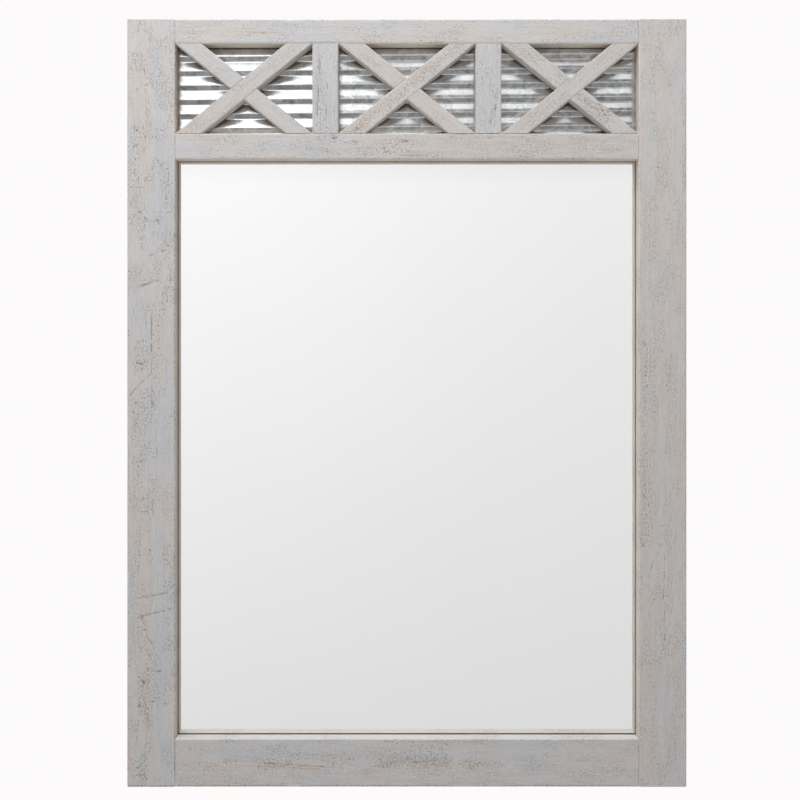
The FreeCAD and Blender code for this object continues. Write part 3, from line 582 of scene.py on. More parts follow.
def build_board(board, material):
    """The swept mesh of one board, with its relief and the places that its material reads."""
    span = board.right - board.left
    length = np.linalg.norm(span, axis=1, keepdims=True)
    line = span / length
    points = np.stack([board.sections[pick] for pick in board.picks])
    ways = np.stack([outward(board.sections[pick]) for pick in board.picks])
    share = points[..., 0] / points[..., 0].max()
    x = board.left[:, :1] + span[:, :1] * share
    z = board.left[:, 1:] + span[:, 1:] * share
    y = CAD_BOX[0].y + points[..., 1]
    grain_way = np.array(board.grain)
    across_way = np.array([grain_way[1], -grain_way[0]])
    across_way *= np.sign(across_way @ span[0])
    place = np.stack([x, z], -1) - board.left[0]
    grain = place @ grain_way / MM
    across = place @ across_way / MM
    deep = points[..., 1] / MM
    edge = np.minimum(share, 1 - share) * length * np.abs(line @ across_way)[:, None] / MM
    front = np.clip(-ways[..., 1], 0, 1)
    below, bent, wear, crack, rough, sawn = relief(board, grain, across, deep, edge, front)
    below[[0, -1]] += END_EASE / MM
    x = x - line[:, :1] * ways[..., 0] * below * MM
    z = z - line[:, 1:] * ways[..., 0] * below * MM
    y = y - ways[..., 1] * below * MM
    vertices, faces = closed_loops([np.stack([x, y, z], -1)])
    piece = make_piece(board.name + "_board", vertices, faces, material, (board.name,))
    side = rise(np.abs(ways[..., 0]), 0.5, 0.95)
    # Each side face gets its shares of cream, painted light and painted shade
    side_cream_light_and_shade = side[..., None] * np.where(share[..., None] > 0.5, board.sides[1], board.sides[0])
    backward = rise(ways[..., 1], 0.3, 0.8)
    # The rabbet floors behind the glass's edge are darkened through the crack mark: painted shade in the gap
    # round the mirror
    rabbet_shade = rise(ways[..., 1], 0.8, 0.95) * (points[..., 1] < points[..., 1].max() - MM)
    raw = np.maximum(backward, side * rise(edge, 1.0, 3.0)) * (1 - rabbet_shade)
    # The painted shade on a side grows from the front towards the lip
    side_cream_light_and_shade[..., 2] *= 0.4 + 1.2 * rise(deep, *PAINTED_SHADE_DEPTHS)
    tone = board.tone[0] + (board.tone[1] - board.tone[0]) * rise(share, 0.3, 0.7) + SAWN_WARMTH * sawn
    timber = [grain + GRAIN_STEP * board.seed, bent + ACROSS_STEP * board.seed, deep]
    store(piece, "board", np.stack(timber, -1))
    store(piece, "marks", np.stack([wear, np.maximum(crack, rabbet_shade), rough], -1))
    store(piece, "face", np.stack([raw, sawn, tone], -1))
    # The side attribute carries cream, painted light and painted shade
    store(piece, "side", side_cream_light_and_shade)


# Marks of each board by kind, in millimetres: where each starts, along and across the grain, where it ends,
# and its width. Places are counted from the board's foot or left end, and from its left or lower edge.
MARKS = {
    "left_stile": {
        "crack": [(632, 26, 639, 47, 0.8), (596, 15, 603, 37, 0.9), (674, 38, 601, 38, 0.5),
                  (466, 3, 492, 28, 0.8), (455, 8, 462, 20, 0.7), (330, 30, 560, 29, 0.5),
                  (224, 12, 231, 48, 0.9), (201, 11, 212, 52, 0.9), (180, 22, 170, 30, 0.7),
                  (138, 28, 138, 40, 0.9), (125, 43, 100, 43, 0.6), (102, 27, 98, 51, 0.7)],
        "dots": [(226, 16, 231, 46, 1.8), (203, 15, 211, 50, 1.8), (142, 24, 115, 25, 3.0),
                 (100, 20, 70, 26, 4.0), (22, 14, 11, 20, 5.0)],
        "wear": [(1.2, 1, 1.2, 56, 1.1), (20, 56.7, 330, 56.7, 0.7), (390, 56.7, 690, 56.7, 0.7)],
    },
    "right_stile": {
        "dots": [(383, 19, 548, 19, 0.9), (425, 37.5, 530, 37.5, 0.8), (298, 21, 294, 28, 1.0),
                 (217, 30, 208, 30.5, 0.8), (164, 28.6, 150, 24.5, 1.2)],
        "wear": [*[(place, 22.9, place + 1.2, 22.8, 0.75) for place in range(238, 282, 5)],
                 *[(place, 30.2, place + 1.4, 30.4, 0.75) for place in range(240, 280, 5)],
                 (254, 23, 254.5, 29, 0.5), (290, 20.6, 286.5, 32.4, 0.6), (317, 36.5, 317.5, 39.6, 0.6),
                 (230, 21, 215, 15.5, 0.7), (234, 25, 222, 22, 0.5), (236, 29, 219, 29.5, 0.6),
                 (208, 30.5, 184, 31, 0.6), (184, 31, 164, 28.6, 0.6), (176, 36.5, 167, 34.5, 0.5)],
        "crack": [(310, 21.6, 310.5, 29, 0.7), (268, 17, 250, 13.5, 0.6), (205, 12, 228, 13.5, 0.5)],
    },
    "middle_rail": {
        "wear": [(333, 30, 388, 30.2, 0.6)],
        "crack": [(196, 21, 214, 16.5, 0.7), (225, 5, 300, 3.5, 0.4), (177, 25, 179, 24.5, 0.8),
                  (373, 24.5, 375, 24.4, 0.8), (368, 17.5, 370, 17.4, 0.8)],
        "dots": [(172, 24, 194, 25, 4.0), (175, 10, 195, 6, 3.0), (146, 28, 148, 19, 0.8),
                 (488, 11, 526, 12, 1.6)],
    },
    "bottom_rail": {
        "wear": [(59, 31, 81, 30.6, 0.8), (488, 18, 500, 17.8, 0.5), (4, 1.2, 130, 1.2, 1.1),
                 (150, 1.2, 330, 1.2, 1.1), (390, 1.2, 540, 1.2, 1.1)],
        "crack": [(83, 30, 190, 23, 0.6), (142, 39, 144.5, 38.6, 0.8)],
        "dots": [(100, 27, 180, 20, 4.0), (245, 29, 325, 29, 9.0), (250, 54, 365, 54, 2.4),
                 (340, 27, 386, 27, 6.0)],
    },
    "top_rail": {
        "crack": [(111, 17, 115, 14, 0.8), (158, 18, 159, 15, 0.7), (292, 3.5, 293.5, 3, 0.8),
                  (60, 13, 140, 11.5, 0.4)],
        "wear": [(296, 0.5, 318, 0.5, 0.6)],
    },
    "left_mullion": {"crack": [(20, 6, 92, 9, 0.6), (10, 16, 60, 18, 0.5)]},
    "right_mullion": {"crack": [(12, 18, 26, 20, 1.0), (20, 23, 34, 24, 0.9), (8, 22, 16, 24.5, 0.8)]},
    "left_rising_brace": {"crack": [(84.2, 10, 85.6, 10, 0.8)]},
    "centre_rising_brace": {"dots": [(5, 10, 175, 9, 8.0)]},
    "right_falling_brace": {"dots": [(15, 11, 70, 9, 7.0), (130, 9, 170, 12, 6.0)]},
    "right_rising_brace": {"crack": [(84.2, 10, 85.6, 10, 0.8)]},
}
KNOTS = {
    "left_stile": [Knot(187, 21, 3.2, 0.9)],
    "right_stile": [Knot(703, 16, 2.4, 0.9), Knot(703, 33, 3.4, 0.35)],
    "middle_rail": [Knot(188, 25, 5.0, 1.0), Knot(213, 20, 4.6, 0.95), Knot(395, 19, 1.8, 0.7)],
}


# The corrugated sheet, the glass and the fittings


def wave(height):
    """Depth of the sheet's middle behind its crests, from the slopes along one wave."""
    shares = np.linspace(0, 1, WAVE_SAMPLES)
    fall = np.tan(np.radians(np.interp(shares, *zip(*WAVE_SLOPES))))
    fall -= fall.mean()
    depth = np.cumsum(fall) * WAVE_PITCH / len(shares)
    depth -= depth.min()
    return np.interp(np.mod(height - WAVE_CREST, WAVE_PITCH) / WAVE_PITCH, shares, depth)


def build_sheet(material):
    """The corrugated sheet as loops round its thin section, one for each place along it."""
    low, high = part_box("corrugated_sheet")
    places = spread(low.x, high.x, SHEET_STEP)
    heights = spread(low.z, high.z, WAVE_STEP)
    x, z = np.meshgrid(places, heights, indexing="ij")
    height = z - (low.z + high.z) / 2 - x * math.tan(WAVE_TILT)
    dents = 1.0 + DENT_SHARE * layered_noise(x / DENT_LENGTH, z / DENT_HEIGHT, SHEET_SEED, 2)
    middle = low.y + SHEET_THICKNESS / 2 + wave(height) * dents
    front = np.stack([x, middle - SHEET_THICKNESS / 2, z], -1)
    back = np.stack([x, middle + SHEET_THICKNESS / 2, z], -1)[:, ::-1]
    loops = np.concatenate([front, back], 1)
    rows, columns = loops.shape[:2]
    faces = grid_faces(rows, columns)
    last = (rows - 1) * columns
    for index in range(columns // 2 - 1):
        end = (index, columns - 1 - index, columns - 2 - index, index + 1)
        faces.append(end)
        faces.append(tuple(last + corner for corner in reversed(end)))
    make_piece("corrugated_steel_sheet", loops.reshape(-1, 3), faces, material,
               ("corrugated_sheet",), crease=60)


def build_glass(material):
    """The mirror: its silver lies behind the glass's thickness, inside a rim that the frame's lip hides."""
    low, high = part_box("mirror_glass")
    silver = low.y + SILVER_DEPTH
    corners = []
    for inset, depth in ((0, high.y), (0, low.y), (SILVER_RIM, low.y), (SILVER_RIM, silver)):
        corners += [(low.x + inset, depth, low.z + inset), (high.x - inset, depth, low.z + inset),
                    (high.x - inset, depth, high.z - inset), (low.x + inset, depth, high.z - inset)]
    vertices, faces = closed_loops([np.reshape(corners, (4, 4, 3))])
    make_piece("mirror_plate", vertices, faces, material, ("mirror_glass",))


def rounded_loop(corners, bend):
    """A closed path whose corners are bent over the given length on both sides."""
    path = []
    for index, corner in enumerate(corners):
        before = corners[index - 1] - corner
        after = corners[(index + 1) % len(corners)] - corner
        start = corner + before / np.linalg.norm(before) * bend
        end = corner + after / np.linalg.norm(after) * bend
        for share in np.linspace(0, 1, BEND_STEPS + 1):
            path.append((1 - share) ** 2 * start + 2 * share * (1 - share) * corner + share**2 * end)
    return np.array(path)


def build_ring(side, material):
    """One hanger ring: a bent wire in the loop of its strap, leaning on the strap as it hangs."""
    joint = next(row for row in frame["joints"] if row["name"] == side + "_ring_hinge")
    axis = np.array(joint["pos_m"])
    level = np.array([1.0, 0.0, 0.0])
    down = np.array([0.0, math.sin(RING_LEAN), -math.cos(RING_LEAN)])
    half = [(RING_HALF_WIDTH, 0.0), (RING_HALF_WIDTH, RING_LEG), (RING_SEAT / 2, RING_REACH)]
    shape = half + [(-across, drop) for across, drop in reversed(half)]
    corners = [axis + level * across + down * drop for across, drop in shape]
    path = rounded_loop(corners, RING_BEND)
    ahead = unit(np.roll(path, -1, 0) - np.roll(path, 1, 0))
    out = np.cross(level, down)
    beside = np.cross(ahead, out)
    turns = np.linspace(0, 2 * math.pi, WIRE_SIDES, endpoint=False)
    wire = (np.cos(turns)[:, None] * out + np.sin(turns)[:, None] * beside[:, None, :]) * RING_WIRE / 2
    points = path[:, None, :] + wire
    rows, columns = points.shape[:2]
    faces = grid_faces(rows, columns)
    last = (rows - 1) * columns
    faces += [(last + index, last + (index + 1) % columns, (index + 1) % columns, index)
              for index in range(columns)]
    make_piece(side + "_wire_ring", points.reshape(-1, 3), faces, material,
               (side + "_hanger_ring",), body=side + "_ring", crease=60)


def turned(x, z, profile):
    """Loops of points round an axis along the depth, from (radius, depth) pairs."""
    angles = np.linspace(0, 2 * math.pi, TURNED_SIDES, endpoint=False)
    circle = np.stack([np.cos(angles), np.zeros(TURNED_SIDES), np.sin(angles)], 1)
    return np.array([np.array([x, depth, z]) + radius * circle for radius, depth in profile])


def screw_loops(x, z):
    """One screw from its tip to the middle of its domed head, with a cross recess."""
    low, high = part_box("hanger_screws")
    strap_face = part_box("left_hanger_strap")[0].y + STRAP_FOLD
    radius, shank = SCREW_HEAD / 2, SCREW_SHANK / 2
    dome_rise = high.y - strap_face - SCREW_RIM
    profile = [(SCREW_TIP / 2, low.y), (shank, low.y + SCREW_POINT), (shank, strap_face),
               (radius, strap_face), (radius, strap_face + SCREW_RIM)]
    rim = len(profile)
    for share in DOME_SHARES:
        profile.append((radius * share, strap_face + SCREW_RIM + dome_rise * (1 - share**DOME_POWER)))
    loops = turned(x, z, profile)
    beside = np.minimum(np.abs(loops[..., 0] - x), np.abs(loops[..., 2] - z))
    reach = np.hypot(loops[..., 0] - x, loops[..., 2] - z)
    on_dome = np.arange(len(profile))[:, None] >= rim
    in_arm = 1 - rise(beside, CROSS_ARM * 0.7, CROSS_ARM * 1.3)
    in_reach = 1 - rise(reach, CROSS_REACH * 0.85, CROSS_REACH)
    loops[..., 1] -= CROSS_DEPTH * (in_arm * in_reach) * on_dome
    return loops


def build_screws(material):
    """The four screws of the hanger straps."""
    middles = [sum(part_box(name), Vector()).x / 2 for name in ("left_hanger_strap", "right_hanger_strap")]
    vertices, faces = closed_loops([screw_loops(x, z) for x in middles for z in SCREW_HEIGHTS])
    make_piece("hanger_screw_set", vertices, faces, material, ("hanger_screws",))


def build_bumpers(material):
    """The four rubber feet that keep the frame's back off the wall."""
    low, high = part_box("wall_bumpers")
    radius = BUMPER_WIDTH / 2
    profile = [(radius * BUMPER_FOOT_SHARE, low.y), (radius, low.y + BUMPER_FLARE)]
    for turn in np.linspace(0, math.pi / 2, EASE_STEPS + 1):
        inset = BUMPER_EASE * (1 - math.cos(turn))
        profile.append((radius - inset, high.y - BUMPER_EASE * (1 - math.sin(turn))))
    profile += [(radius * share, high.y - dip) for share, dip in BUMPER_DISH]
    places = [(x, z) for x in (low.x + radius, high.x - radius) for z in (low.z + radius, high.z - radius)]
    vertices, faces = closed_loops([turned(x, z, profile) for x, z in places])
    make_piece("wall_bumper_set", vertices, faces, material, ("wall_bumpers",))


# Materials


class Nodes:
    """A node tree, with a short call for each kind of node that the materials use."""

    def __init__(self, tree):
        self.tree = tree

    def add(self, kind, inputs=(), **settings):
        """A node with settings, and inputs that are values or other nodes' outputs."""
        node = self.tree.nodes.new(kind)
        for name, value in settings.items():
            setattr(node, name, value)
        for key, value in dict(inputs).items():
            self.set(node.inputs[key], value)
        return node

    def set(self, socket, value):
        """Links an output to a socket, or writes a value on it, opaque where that is a colour."""
        if isinstance(value, bpy.types.NodeSocket):
            self.tree.links.new(value, socket)
        else:
            socket.default_value = (*value, 1.0) if socket.type == "RGBA" else value

    def attribute(self, name):
        return self.add("ShaderNodeAttribute", attribute_name=name).outputs["Vector"]

    def object_place(self):
        return self.add("ShaderNodeTexCoord").outputs["Object"]

    def parts(self, vector):
        return list(self.add("ShaderNodeSeparateXYZ", {0: vector}).outputs)

    def texture(self, kind, vector, scale, inputs=(), **settings):
        """A texture over places that are stretched along each axis."""
        place = self.add("ShaderNodeVectorMath", {0: vector, 1: scale}, operation="MULTIPLY").outputs[0]
        return self.add(kind, {"Vector": place, "Scale": 1.0, **dict(inputs)}, **settings).outputs

    def noise(self, vector, scale, detail=2.0, roughness=0.5, distortion=0.0):
        inputs = {"Detail": detail, "Roughness": roughness, "Distortion": distortion}
        return self.texture("ShaderNodeTexNoise", vector, scale, inputs)[0]

    def cells(self, vector, scale):
        return self.texture("ShaderNodeTexVoronoi", vector, scale)

    def lines(self, vector, scale, distortion):
        inputs = {"Distortion": distortion, "Detail": 2.0}
        return self.texture("ShaderNodeTexWave", vector, scale, inputs, bands_direction="DIAGONAL")["Fac"]

    def level(self, value, low, high, to_low=0.0, to_high=1.0):
        inputs = {0: value, 1: low, 2: high, 3: to_low, 4: to_high}
        return self.add("ShaderNodeMapRange", inputs, interpolation_type="SMOOTHSTEP").outputs[0]

    def ramp(self, value, *stops):
        node = self.add("ShaderNodeValToRGB", {0: value})
        elements = node.color_ramp.elements
        while len(elements) < len(stops):
            elements.new(1.0)
        for element, (position, colour) in zip(elements, stops):
            element.position = position
            element.color = (*colour, 1.0)
        return node.outputs[0]

    def mix(self, share, first, second):
        return self.add("ShaderNodeMix", {0: share, 6: first, 7: second}, data_type="RGBA").outputs[2]

    def math(self, operation, *values):
        return self.add("ShaderNodeMath", enumerate(values), operation=operation).outputs[0]

    def background(self, colour, strength):
        return self.add("ShaderNodeBackground", {"Color": colour, "Strength": strength}).outputs[0]

    def blend(self, share, first, second):
        return self.add("ShaderNodeMixShader", {0: share, 1: first, 2: second}).outputs[0]

    def bump(self, height, distance, strength, normal=None):
        inputs = {"Height": height, "Distance": distance, "Strength": strength}
        if normal is not None:
            inputs["Normal"] = normal
        return self.add("ShaderNodeBump", inputs).outputs[0]


class Surface(Nodes):
    """The nodes of a new material with a principled shader."""

    def __init__(self, name):
        self.material = bpy.data.materials.new(name)
        self.material.use_nodes = True
        super().__init__(self.material.node_tree)
        self.shader = self.tree.nodes["Principled BSDF"]

    def dress(self, **values):
        """The material, with its shader's sockets set by their names, underscores for spaces."""
        for name, value in values.items():
            self.set(self.shader.inputs[name.replace("_", " ")], value)
        return self.material


def whitewash():
    """Rough-sawn softwood under a thin grey-white wash, worn to tan wood along its edges, with painted light
    and shade on its sides, rabbet floors and grit.
    """
    nodes = Surface("whitewashed_wood")
    place = nodes.attribute("board")
    wear, crack, rough = nodes.parts(nodes.attribute("marks"))
    raw, sawn, tone = nodes.parts(nodes.attribute("face"))
    # The side attribute gives cream (partly painted light), white (painted light) and tan (painted shade)
    cream_and_light, white, tan = nodes.parts(nodes.attribute("side"))
    patches = nodes.noise(place, (1 / 130, 1 / 20, 1 / 20))
    warmth = nodes.math("ADD", patches, tone)
    wash = nodes.ramp(warmth, (0.38, BLUE_WASH), (0.5, GREY_WASH), (0.62, PINK_WASH))
    # Cream and white brighten the sides as painted light, and tan darkens a shaded side as painted shade
    wash = nodes.mix(cream_and_light, wash, CREAM_AND_LIGHT_WASH)
    wash = nodes.mix(white, wash, PAINTED_LIGHT_WASH)
    wash = nodes.mix(tan, wash, TAN_WEAR_AND_SHADE)
    growth = nodes.noise(place, (1 / 60, 1 / 3.0, 1 / 3.0), 3.0, 0.65)
    wash = nodes.mix(nodes.level(growth, 0.55, 0.3, 0.0, 0.12), wash, DARK_GRAIN_AND_SHADE)
    fibres = nodes.noise(place, (1 / 9, 1 / 1.2, 1 / 1.2), 3.0, 0.65)
    wash = nodes.mix(nodes.level(fibres, 0.5, 0.28, 0.0, 0.18), wash, DARK_GRAIN_AND_SHADE)
    wash = nodes.mix(nodes.level(fibres, 0.52, 0.72, 0.0, 0.3), wash, PALE_WASH_AND_HIGHLIGHT)
    teeth = nodes.lines(place, (0.19, 0.022, 0.0), 2.5)
    skips = nodes.noise(place, (1 / 22, 1 / 5, 1 / 5), 2.0)
    cut = nodes.math("MULTIPLY", nodes.level(teeth, 0.5, 0.05, 0.0, 0.4), nodes.level(skips, 0.42, 0.6))
    cut = nodes.math("MULTIPLY", cut, sawn)
    wash = nodes.mix(cut, wash, SAW_LINE)
    # On rough stretches, pale specks are painted highlights on the grit's high points, and dark brown specks
    # are pits whose darkness is partly painted shade
    grit = nodes.noise(place, (1 / 2.7, 1 / 1.8, 1 / 1.8), 3.0, 0.7)
    gritty = nodes.level(rough, 0.02, 0.6, 0.08, 1.0)
    grit_pits_and_shade = nodes.math("MULTIPLY", nodes.level(grit, 0.54, 0.66, 0.0, 0.9), gritty)
    painted_grit_highlight = nodes.math("MULTIPLY", nodes.level(grit, 0.46, 0.34, 0.0, 0.95), gritty)
    wash = nodes.mix(painted_grit_highlight, wash, PALE_WASH_AND_HIGHLIGHT)
    wash = nodes.mix(grit_pits_and_shade, wash, PIT_BROWN_AND_SHADE)
    broken = nodes.noise(place, (1 / 2.4, 1 / 1.5, 1 / 1.5), 2.0, 0.6)
    thin = nodes.level(patches, 0.52, 0.66, 0.0, 0.5)
    flecked = nodes.math("MULTIPLY", nodes.level(broken, 0.6, 0.7), thin)
    wash = nodes.mix(flecked, wash, TAN_WEAR_AND_SHADE)
    worn = nodes.level(nodes.math("MULTIPLY_ADD", broken, 4.0, wear), 2.6, 2.9, 0.0, 0.85)
    wash = nodes.mix(worn, wash, TAN_WEAR_AND_SHADE)
    # Cracks turn to dark grain here, and so do the rabbet floors, as painted shade round the mirror
    wash = nodes.mix(nodes.level(crack, 0.15, 0.8, 0.0, 0.75), wash, DARK_GRAIN_AND_SHADE)
    rings = nodes.noise(place, (1 / 160, 1 / 2.6, 1 / 2.6), 2.0, 0.6, 0.4)
    softwood = nodes.ramp(rings, (0.35, PALE_SOFTWOOD), (0.6, DEEP_SOFTWOOD))
    overspray = nodes.level(patches, 0.4, 0.6, 0.05, 0.35)
    softwood = nodes.mix(overspray, softwood, GREY_WASH)
    height = nodes.math("SUBTRACT", nodes.math("ADD", fibres, painted_grit_highlight), nodes.math("ADD", grit_pits_and_shade, cut))
    return nodes.dress(Specular_IOR_Level=0.25, Base_Color=nodes.mix(raw, wash, softwood),
                       Roughness=nodes.level(fibres, 0.3, 0.7, 0.92, 0.72),
                       Normal=nodes.bump(height, 0.5 * MM, 0.6))


def galvanised():
    """Dull zinc with crystal spangle, pale bloom and a few rusty stains."""
    nodes = Surface("galvanised_steel")
    place = nodes.object_place()
    spangle = nodes.cells(place, (150, 150, 190))[1]
    crystal = nodes.parts(spangle)[0]
    mottle = nodes.noise(place, (110, 110, 150), 4.0, 0.65)
    zinc = nodes.ramp(crystal, (0.0, DARK_ZINC), (1.0, PALE_ZINC))
    zinc = nodes.mix(nodes.level(mottle, 0.35, 0.7, 0.0, 0.5), zinc, ZINC_BLOOM)
    stain = nodes.noise(place, (160, 160, 260), 3.0, 0.7)
    region = nodes.noise(place, (14, 14, 14), 1.0)
    stained = nodes.math("MULTIPLY", nodes.level(stain, 0.62, 0.76), nodes.level(region, 0.45, 0.6, 0.0, 0.6))
    dull = nodes.math("ADD", nodes.math("MULTIPLY", crystal, 0.05), nodes.level(mottle, 0.3, 0.7, 0.16, 0.24))
    return nodes.dress(Metallic=0.9, Base_Color=nodes.mix(stained, zinc, RUST),
                       Roughness=nodes.math("ADD", dull, nodes.math("MULTIPLY", stained, 0.25)),
                       Normal=nodes.bump(mottle, 0.1 * MM, 0.3))


def silvered():
    """A clean silvered mirror with the least trace of haze."""
    nodes = Surface("mirror_silver")
    haze = nodes.noise(nodes.object_place(), (6, 6, 6), 3.0)
    return nodes.dress(Metallic=1.0, Base_Color=nodes.ramp(haze, (0.3, DIM_SILVER), (0.7, CLEAR_SILVER)),
                       Roughness=nodes.level(haze, 0.3, 0.7, 0.008, 0.02))


def zinc_plate(name, bright, dark):
    """Plated steel with faint drawn lines, rubbed patches and dull spots."""
    nodes = Surface(name)
    place = nodes.object_place()
    drawn = nodes.noise(place, (300, 900, 2600), 2.0)
    patch = nodes.noise(place, (220, 220, 220), 3.0, 0.6)
    return nodes.dress(Metallic=1.0, Base_Color=nodes.ramp(patch, (0.3, dark), (0.65, bright)),
                       Roughness=nodes.level(patch, 0.3, 0.7, 0.42, 0.26),
                       Normal=nodes.bump(drawn, 0.03 * MM, 0.4))


def hardboard():
    """Brown pressed fibre with the fine screen mark of its back."""
    nodes = Surface("hardboard")
    place = nodes.object_place()
    fibres = nodes.noise(place, (420, 420, 420), 4.0, 0.7)
    clouds = nodes.noise(place, (9, 9, 9), 3.0)
    brown = nodes.ramp(fibres, (0.3, DARK_FIBRE), (0.5, BROWN_FIBRE), (0.72, PALE_FIBRE))
    brown = nodes.mix(nodes.level(clouds, 0.35, 0.7, 0.0, 0.3), brown, FIBRE_CLOUD)
    screen = nodes.cells(place, (520, 520, 520))[0]
    fine = nodes.bump(screen, 0.15 * MM, 0.4)
    return nodes.dress(Base_Color=brown, Roughness=nodes.level(fibres, 0.3, 0.7, 0.62, 0.85),
                       Normal=nodes.bump(fibres, 0.1 * MM, 0.4, fine))


def beech():
    """Planed beech with short dark flecks along the grain."""
    nodes = Surface("planed_beech")
    flecks = nodes.noise(nodes.object_place(), (120, 900, 900), 3.0)
    return nodes.dress(Roughness=0.6, Base_Color=nodes.ramp(flecks, (0.35, BEECH_FLECK), (0.6, PALE_BEECH)),
                       Normal=nodes.bump(flecks, 0.05 * MM, 0.3))


def rubber():
    """Matt black rubber with a moulded grain and dust."""
    nodes = Surface("bumper_rubber")
    place = nodes.object_place()
    grain = nodes.noise(place, (2200, 2200, 2200), 2.0)
    dust = nodes.noise(place, (260, 260, 260), 3.0, 0.6)
    return nodes.dress(Base_Color=nodes.ramp(dust, (0.4, BLACK_RUBBER), (0.75, DUSTY_RUBBER)),
                       Roughness=nodes.level(dust, 0.3, 0.7, 0.62, 0.85),
                       Normal=nodes.bump(grain, 0.08 * MM, 0.5))


# The studio: floor, light and camera


def add_floor():
    """A pale floor at the height of a room's, which fades into the white round it."""
    angles = np.linspace(0, 2 * math.pi, FLOOR_SIDES, endpoint=False)
    mesh = bpy.data.meshes.new("studio_floor")
    mesh.from_pydata([(FLOOR_RADIUS * math.cos(a), FLOOR_RADIUS * math.sin(a), 0) for a in angles], [],
                     [tuple(range(FLOOR_SIDES))])
    nodes = Surface("pale_floor")
    place = nodes.object_place()
    paper = nodes.noise(place, (40, 40, 40), 3.0)
    material = nodes.dress(Roughness=0.75, Base_Color=nodes.ramp(paper, (0.3, DARK_FLOOR), (0.7, PALE_FLOOR)))
    away = nodes.add("ShaderNodeVectorMath", {0: place}, operation="LENGTH").outputs["Value"]
    clear = nodes.add("ShaderNodeBsdfTransparent").outputs[0]
    share = nodes.level(away, FLOOR_FADE, FLOOR_RADIUS)
    faded = nodes.blend(share, nodes.shader.outputs[0], clear)
    nodes.set(nodes.tree.nodes["Material Output"].inputs["Surface"], faded)
    mesh.materials.append(material)
    floor = bpy.data.objects.new("studio_floor", mesh)
    floor.location = (0, 0, FLOOR_HEIGHT)
    bpy.context.scene.collection.objects.link(floor)


def add_world():
    """A white surround: plain for the eye, and where a surface reflects it graded, with a bright window."""
    world = bpy.data.worlds.new("studio")
    bpy.context.scene.world = world
    world.use_nodes = True
    tree = world.node_tree
    tree.nodes.clear()
    nodes = Nodes(tree)
    direction = nodes.add("ShaderNodeTexCoord").outputs["Generated"]
    right, back, up = nodes.parts(direction)
    height = nodes.math("MULTIPLY_ADD", up, 0.5, 0.5)
    grade = nodes.ramp(height, *((0.5 + 0.5 * sine, (value,) * 3) for sine, value in REFLECTED_STOPS))
    slant = nodes.math("MULTIPLY", nodes.level(right, *SLANT), nodes.math("ADD", up, SLANT_LIFT))
    window = nodes.math("MULTIPLY", nodes.level(up, *WINDOW_FOOT), nodes.level(up, *WINDOW_HEAD))
    window = nodes.math("MULTIPLY", window, nodes.level(right, *WINDOW_SIDES))
    reflected = nodes.math("ADD", nodes.math("ADD", grade, slant), window)
    ray = nodes.add("ShaderNodeLightPath").outputs
    toward = nodes.add("ShaderNodeVectorMath", {0: direction, 1: FILL_WAY}, operation="DOT_PRODUCT")
    front_fill = nodes.level(toward.outputs["Value"], *FILL_SPREAD, 0.0, FRONT_FILL)
    fill = nodes.math("ADD", nodes.level(back, *AMBIENT_TURN, AMBIENT_FRONT, AMBIENT_BACK), front_fill)
    ambient = nodes.background(AMBIENT_TINT, fill)
    studio = nodes.background(reflected, 1.0)
    white = nodes.background(BACKDROP, 1.0)
    lit = nodes.blend(ray["Is Glossy Ray"], ambient, studio)
    seen = nodes.math("MAXIMUM", ray["Is Camera Ray"], ray["Is Transmission Ray"])
    nodes.add("ShaderNodeOutputWorld", {"Surface": nodes.blend(seen, lit, white)})


def add_softbox(lamp):
    """A rectangular lamp of even brightness that looks at a point."""
    data = bpy.data.lights.new(lamp.name, "AREA")
    data.shape = "RECTANGLE"
    data.size = lamp.width
    data.size_y = lamp.height
    data.energy = lamp.radiance * math.pi * lamp.width * lamp.height
    softbox = bpy.data.objects.new(lamp.name, data)
    softbox.location = lamp.place
    softbox.rotation_mode = "QUATERNION"
    softbox.rotation_quaternion = (Vector(lamp.aim) - Vector(lamp.place)).to_track_quat("-Z", "Y")
    softbox.visible_camera = False
    softbox.visible_glossy = lamp.reflected
    bpy.context.scene.collection.objects.link(softbox)


def add_camera():
    """A camera that shows the front face as large and as high in the frame as the photograph does."""
    data = bpy.data.cameras.new("photo_camera")
    data.sensor_width = 36.0
    data.lens = data.sensor_width * CAMERA_DISTANCE / (PHOTO_SIDE * PIXEL_SIZE)
    data.shift_y = CAMERA_SHIFT
    camera = bpy.data.objects.new("photo_camera", data)
    lift = -CAMERA_SHIFT * PHOTO_SIDE * PIXEL_SIZE
    camera.location = (PHOTO_MIDDLE_X, CAD_BOX[0].y - CAMERA_DISTANCE, PHOTO_MIDDLE_Z + lift)
    camera.rotation_euler = (math.pi / 2, 0, 0)
    bpy.context.scene.collection.objects.link(camera)
    bpy.context.scene.camera = camera


# The object

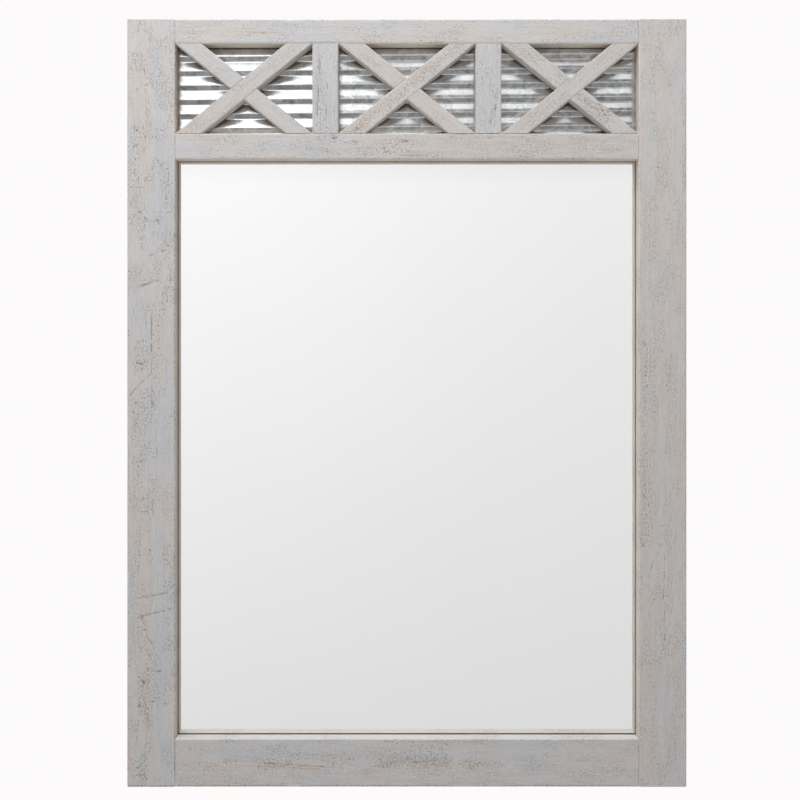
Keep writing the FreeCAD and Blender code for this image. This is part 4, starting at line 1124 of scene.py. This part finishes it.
# On the sides, white is painted light on the bottom rail's upper face, tan is painted shade on the left
# stile's inner face, and cream is partly painted light
BOARDS = [
    stile("left_stile", 1, (0.05, -0.07), False, SHADED_INNER_SIDE,
          rough=((11, 33, 0, 340), (4, 33, 340, 914), (34, 57, 540, 914), (42, 57, 40, 330))),
    stile("right_stile", 2, (0.09, 0.05), True, CREAM_AND_LIGHT_SIDE,
          rough=((2, 10, 250, 600),), sawn=((300, 620, 0.35),)),
    rail("top_rail", 3, (0.05, 0.02), (CREAM_AND_LIGHT_SIDE, PLAIN_SIDE), lower_front=SHEET_FRONT),
    rail("middle_rail", 4, (0.02, 0.04), (CREAM_AND_LIGHT_SIDE, CREAM_AND_LIGHT_SIDE), GLASS_FRONT, SHEET_FRONT,
         rough=((4, 26, 170, 330),), sawn=((300, 552, 1.0),)),
    rail("bottom_rail", 5, (0.05, -0.02), (PLAIN_SIDE, LIT_TOP_SIDE), upper_front=GLASS_FRONT,
         rough=((22, 40, 20, 370), (42, 56, 230, 390))),
    mullion("left_mullion", 6, (-0.06, -0.06), rough=((4, 14, 0, 107),)),
    mullion("right_mullion", 7, (-0.1, -0.12), rough=((16, 27, 0, 60),)),
    brace("left_rising_brace", 8, (-0.03, -0.03), True, sawn=((0, 190, 0.6),)),
    brace("left_falling_brace", 9, (-0.03, -0.03), False, sawn=((0, 190, 0.5),)),
    brace("centre_rising_brace", 10, (0.04, 0.04), True, rough=((2, 19, 0, 190),)),
    brace("centre_falling_brace", 11, (0.08, 0.08), False, sawn=((0, 190, 0.6),)),
    brace("right_rising_brace", 12, (0.08, 0.08), True, sawn=((0, 190, 0.6),)),
    brace("right_falling_brace", 13, (0.02, 0.02), False, rough=((2, 19, 0, 190),)),
]

wood = whitewash()
for board in BOARDS:
    build_board(board, wood)
build_sheet(galvanised())
build_glass(silvered())
bright_zinc = zinc_plate("bright_zinc", (0.70, 0.69, 0.66), (0.50, 0.49, 0.46))
for side in ("left", "right"):
    build_ring(side, bright_zinc)
build_screws(bright_zinc)
build_bumpers(rubber())

dull_zinc = zinc_plate("dull_zinc", (0.52, 0.52, 0.51), (0.34, 0.34, 0.33))
bare_wire = zinc_plate("bare_wire", (0.36, 0.36, 0.37), (0.20, 0.20, 0.20))
tenon_wood = beech()
KEPT_NODES = {
    "backing_board": hardboard(),
    "left_hanger_strap": bright_zinc,
    "right_hanger_strap": bright_zinc,
    "retaining_points": dull_zinc,
    "rail_tenons": tenon_wood,
    "mullion_tenons": tenon_wood,
    "brace_end_brads": bare_wire,
    "brace_lap_brads": bare_wire,
}
for name, material in KEPT_NODES.items():
    mesh = frame["nodes"][name].data
    mesh.materials.clear()
    mesh.materials.append(material)

bpy.context.scene.view_settings.view_transform = "Standard"
add_floor()
add_world()
for lamp in LAMPS:
    add_softbox(lamp)
add_camera()
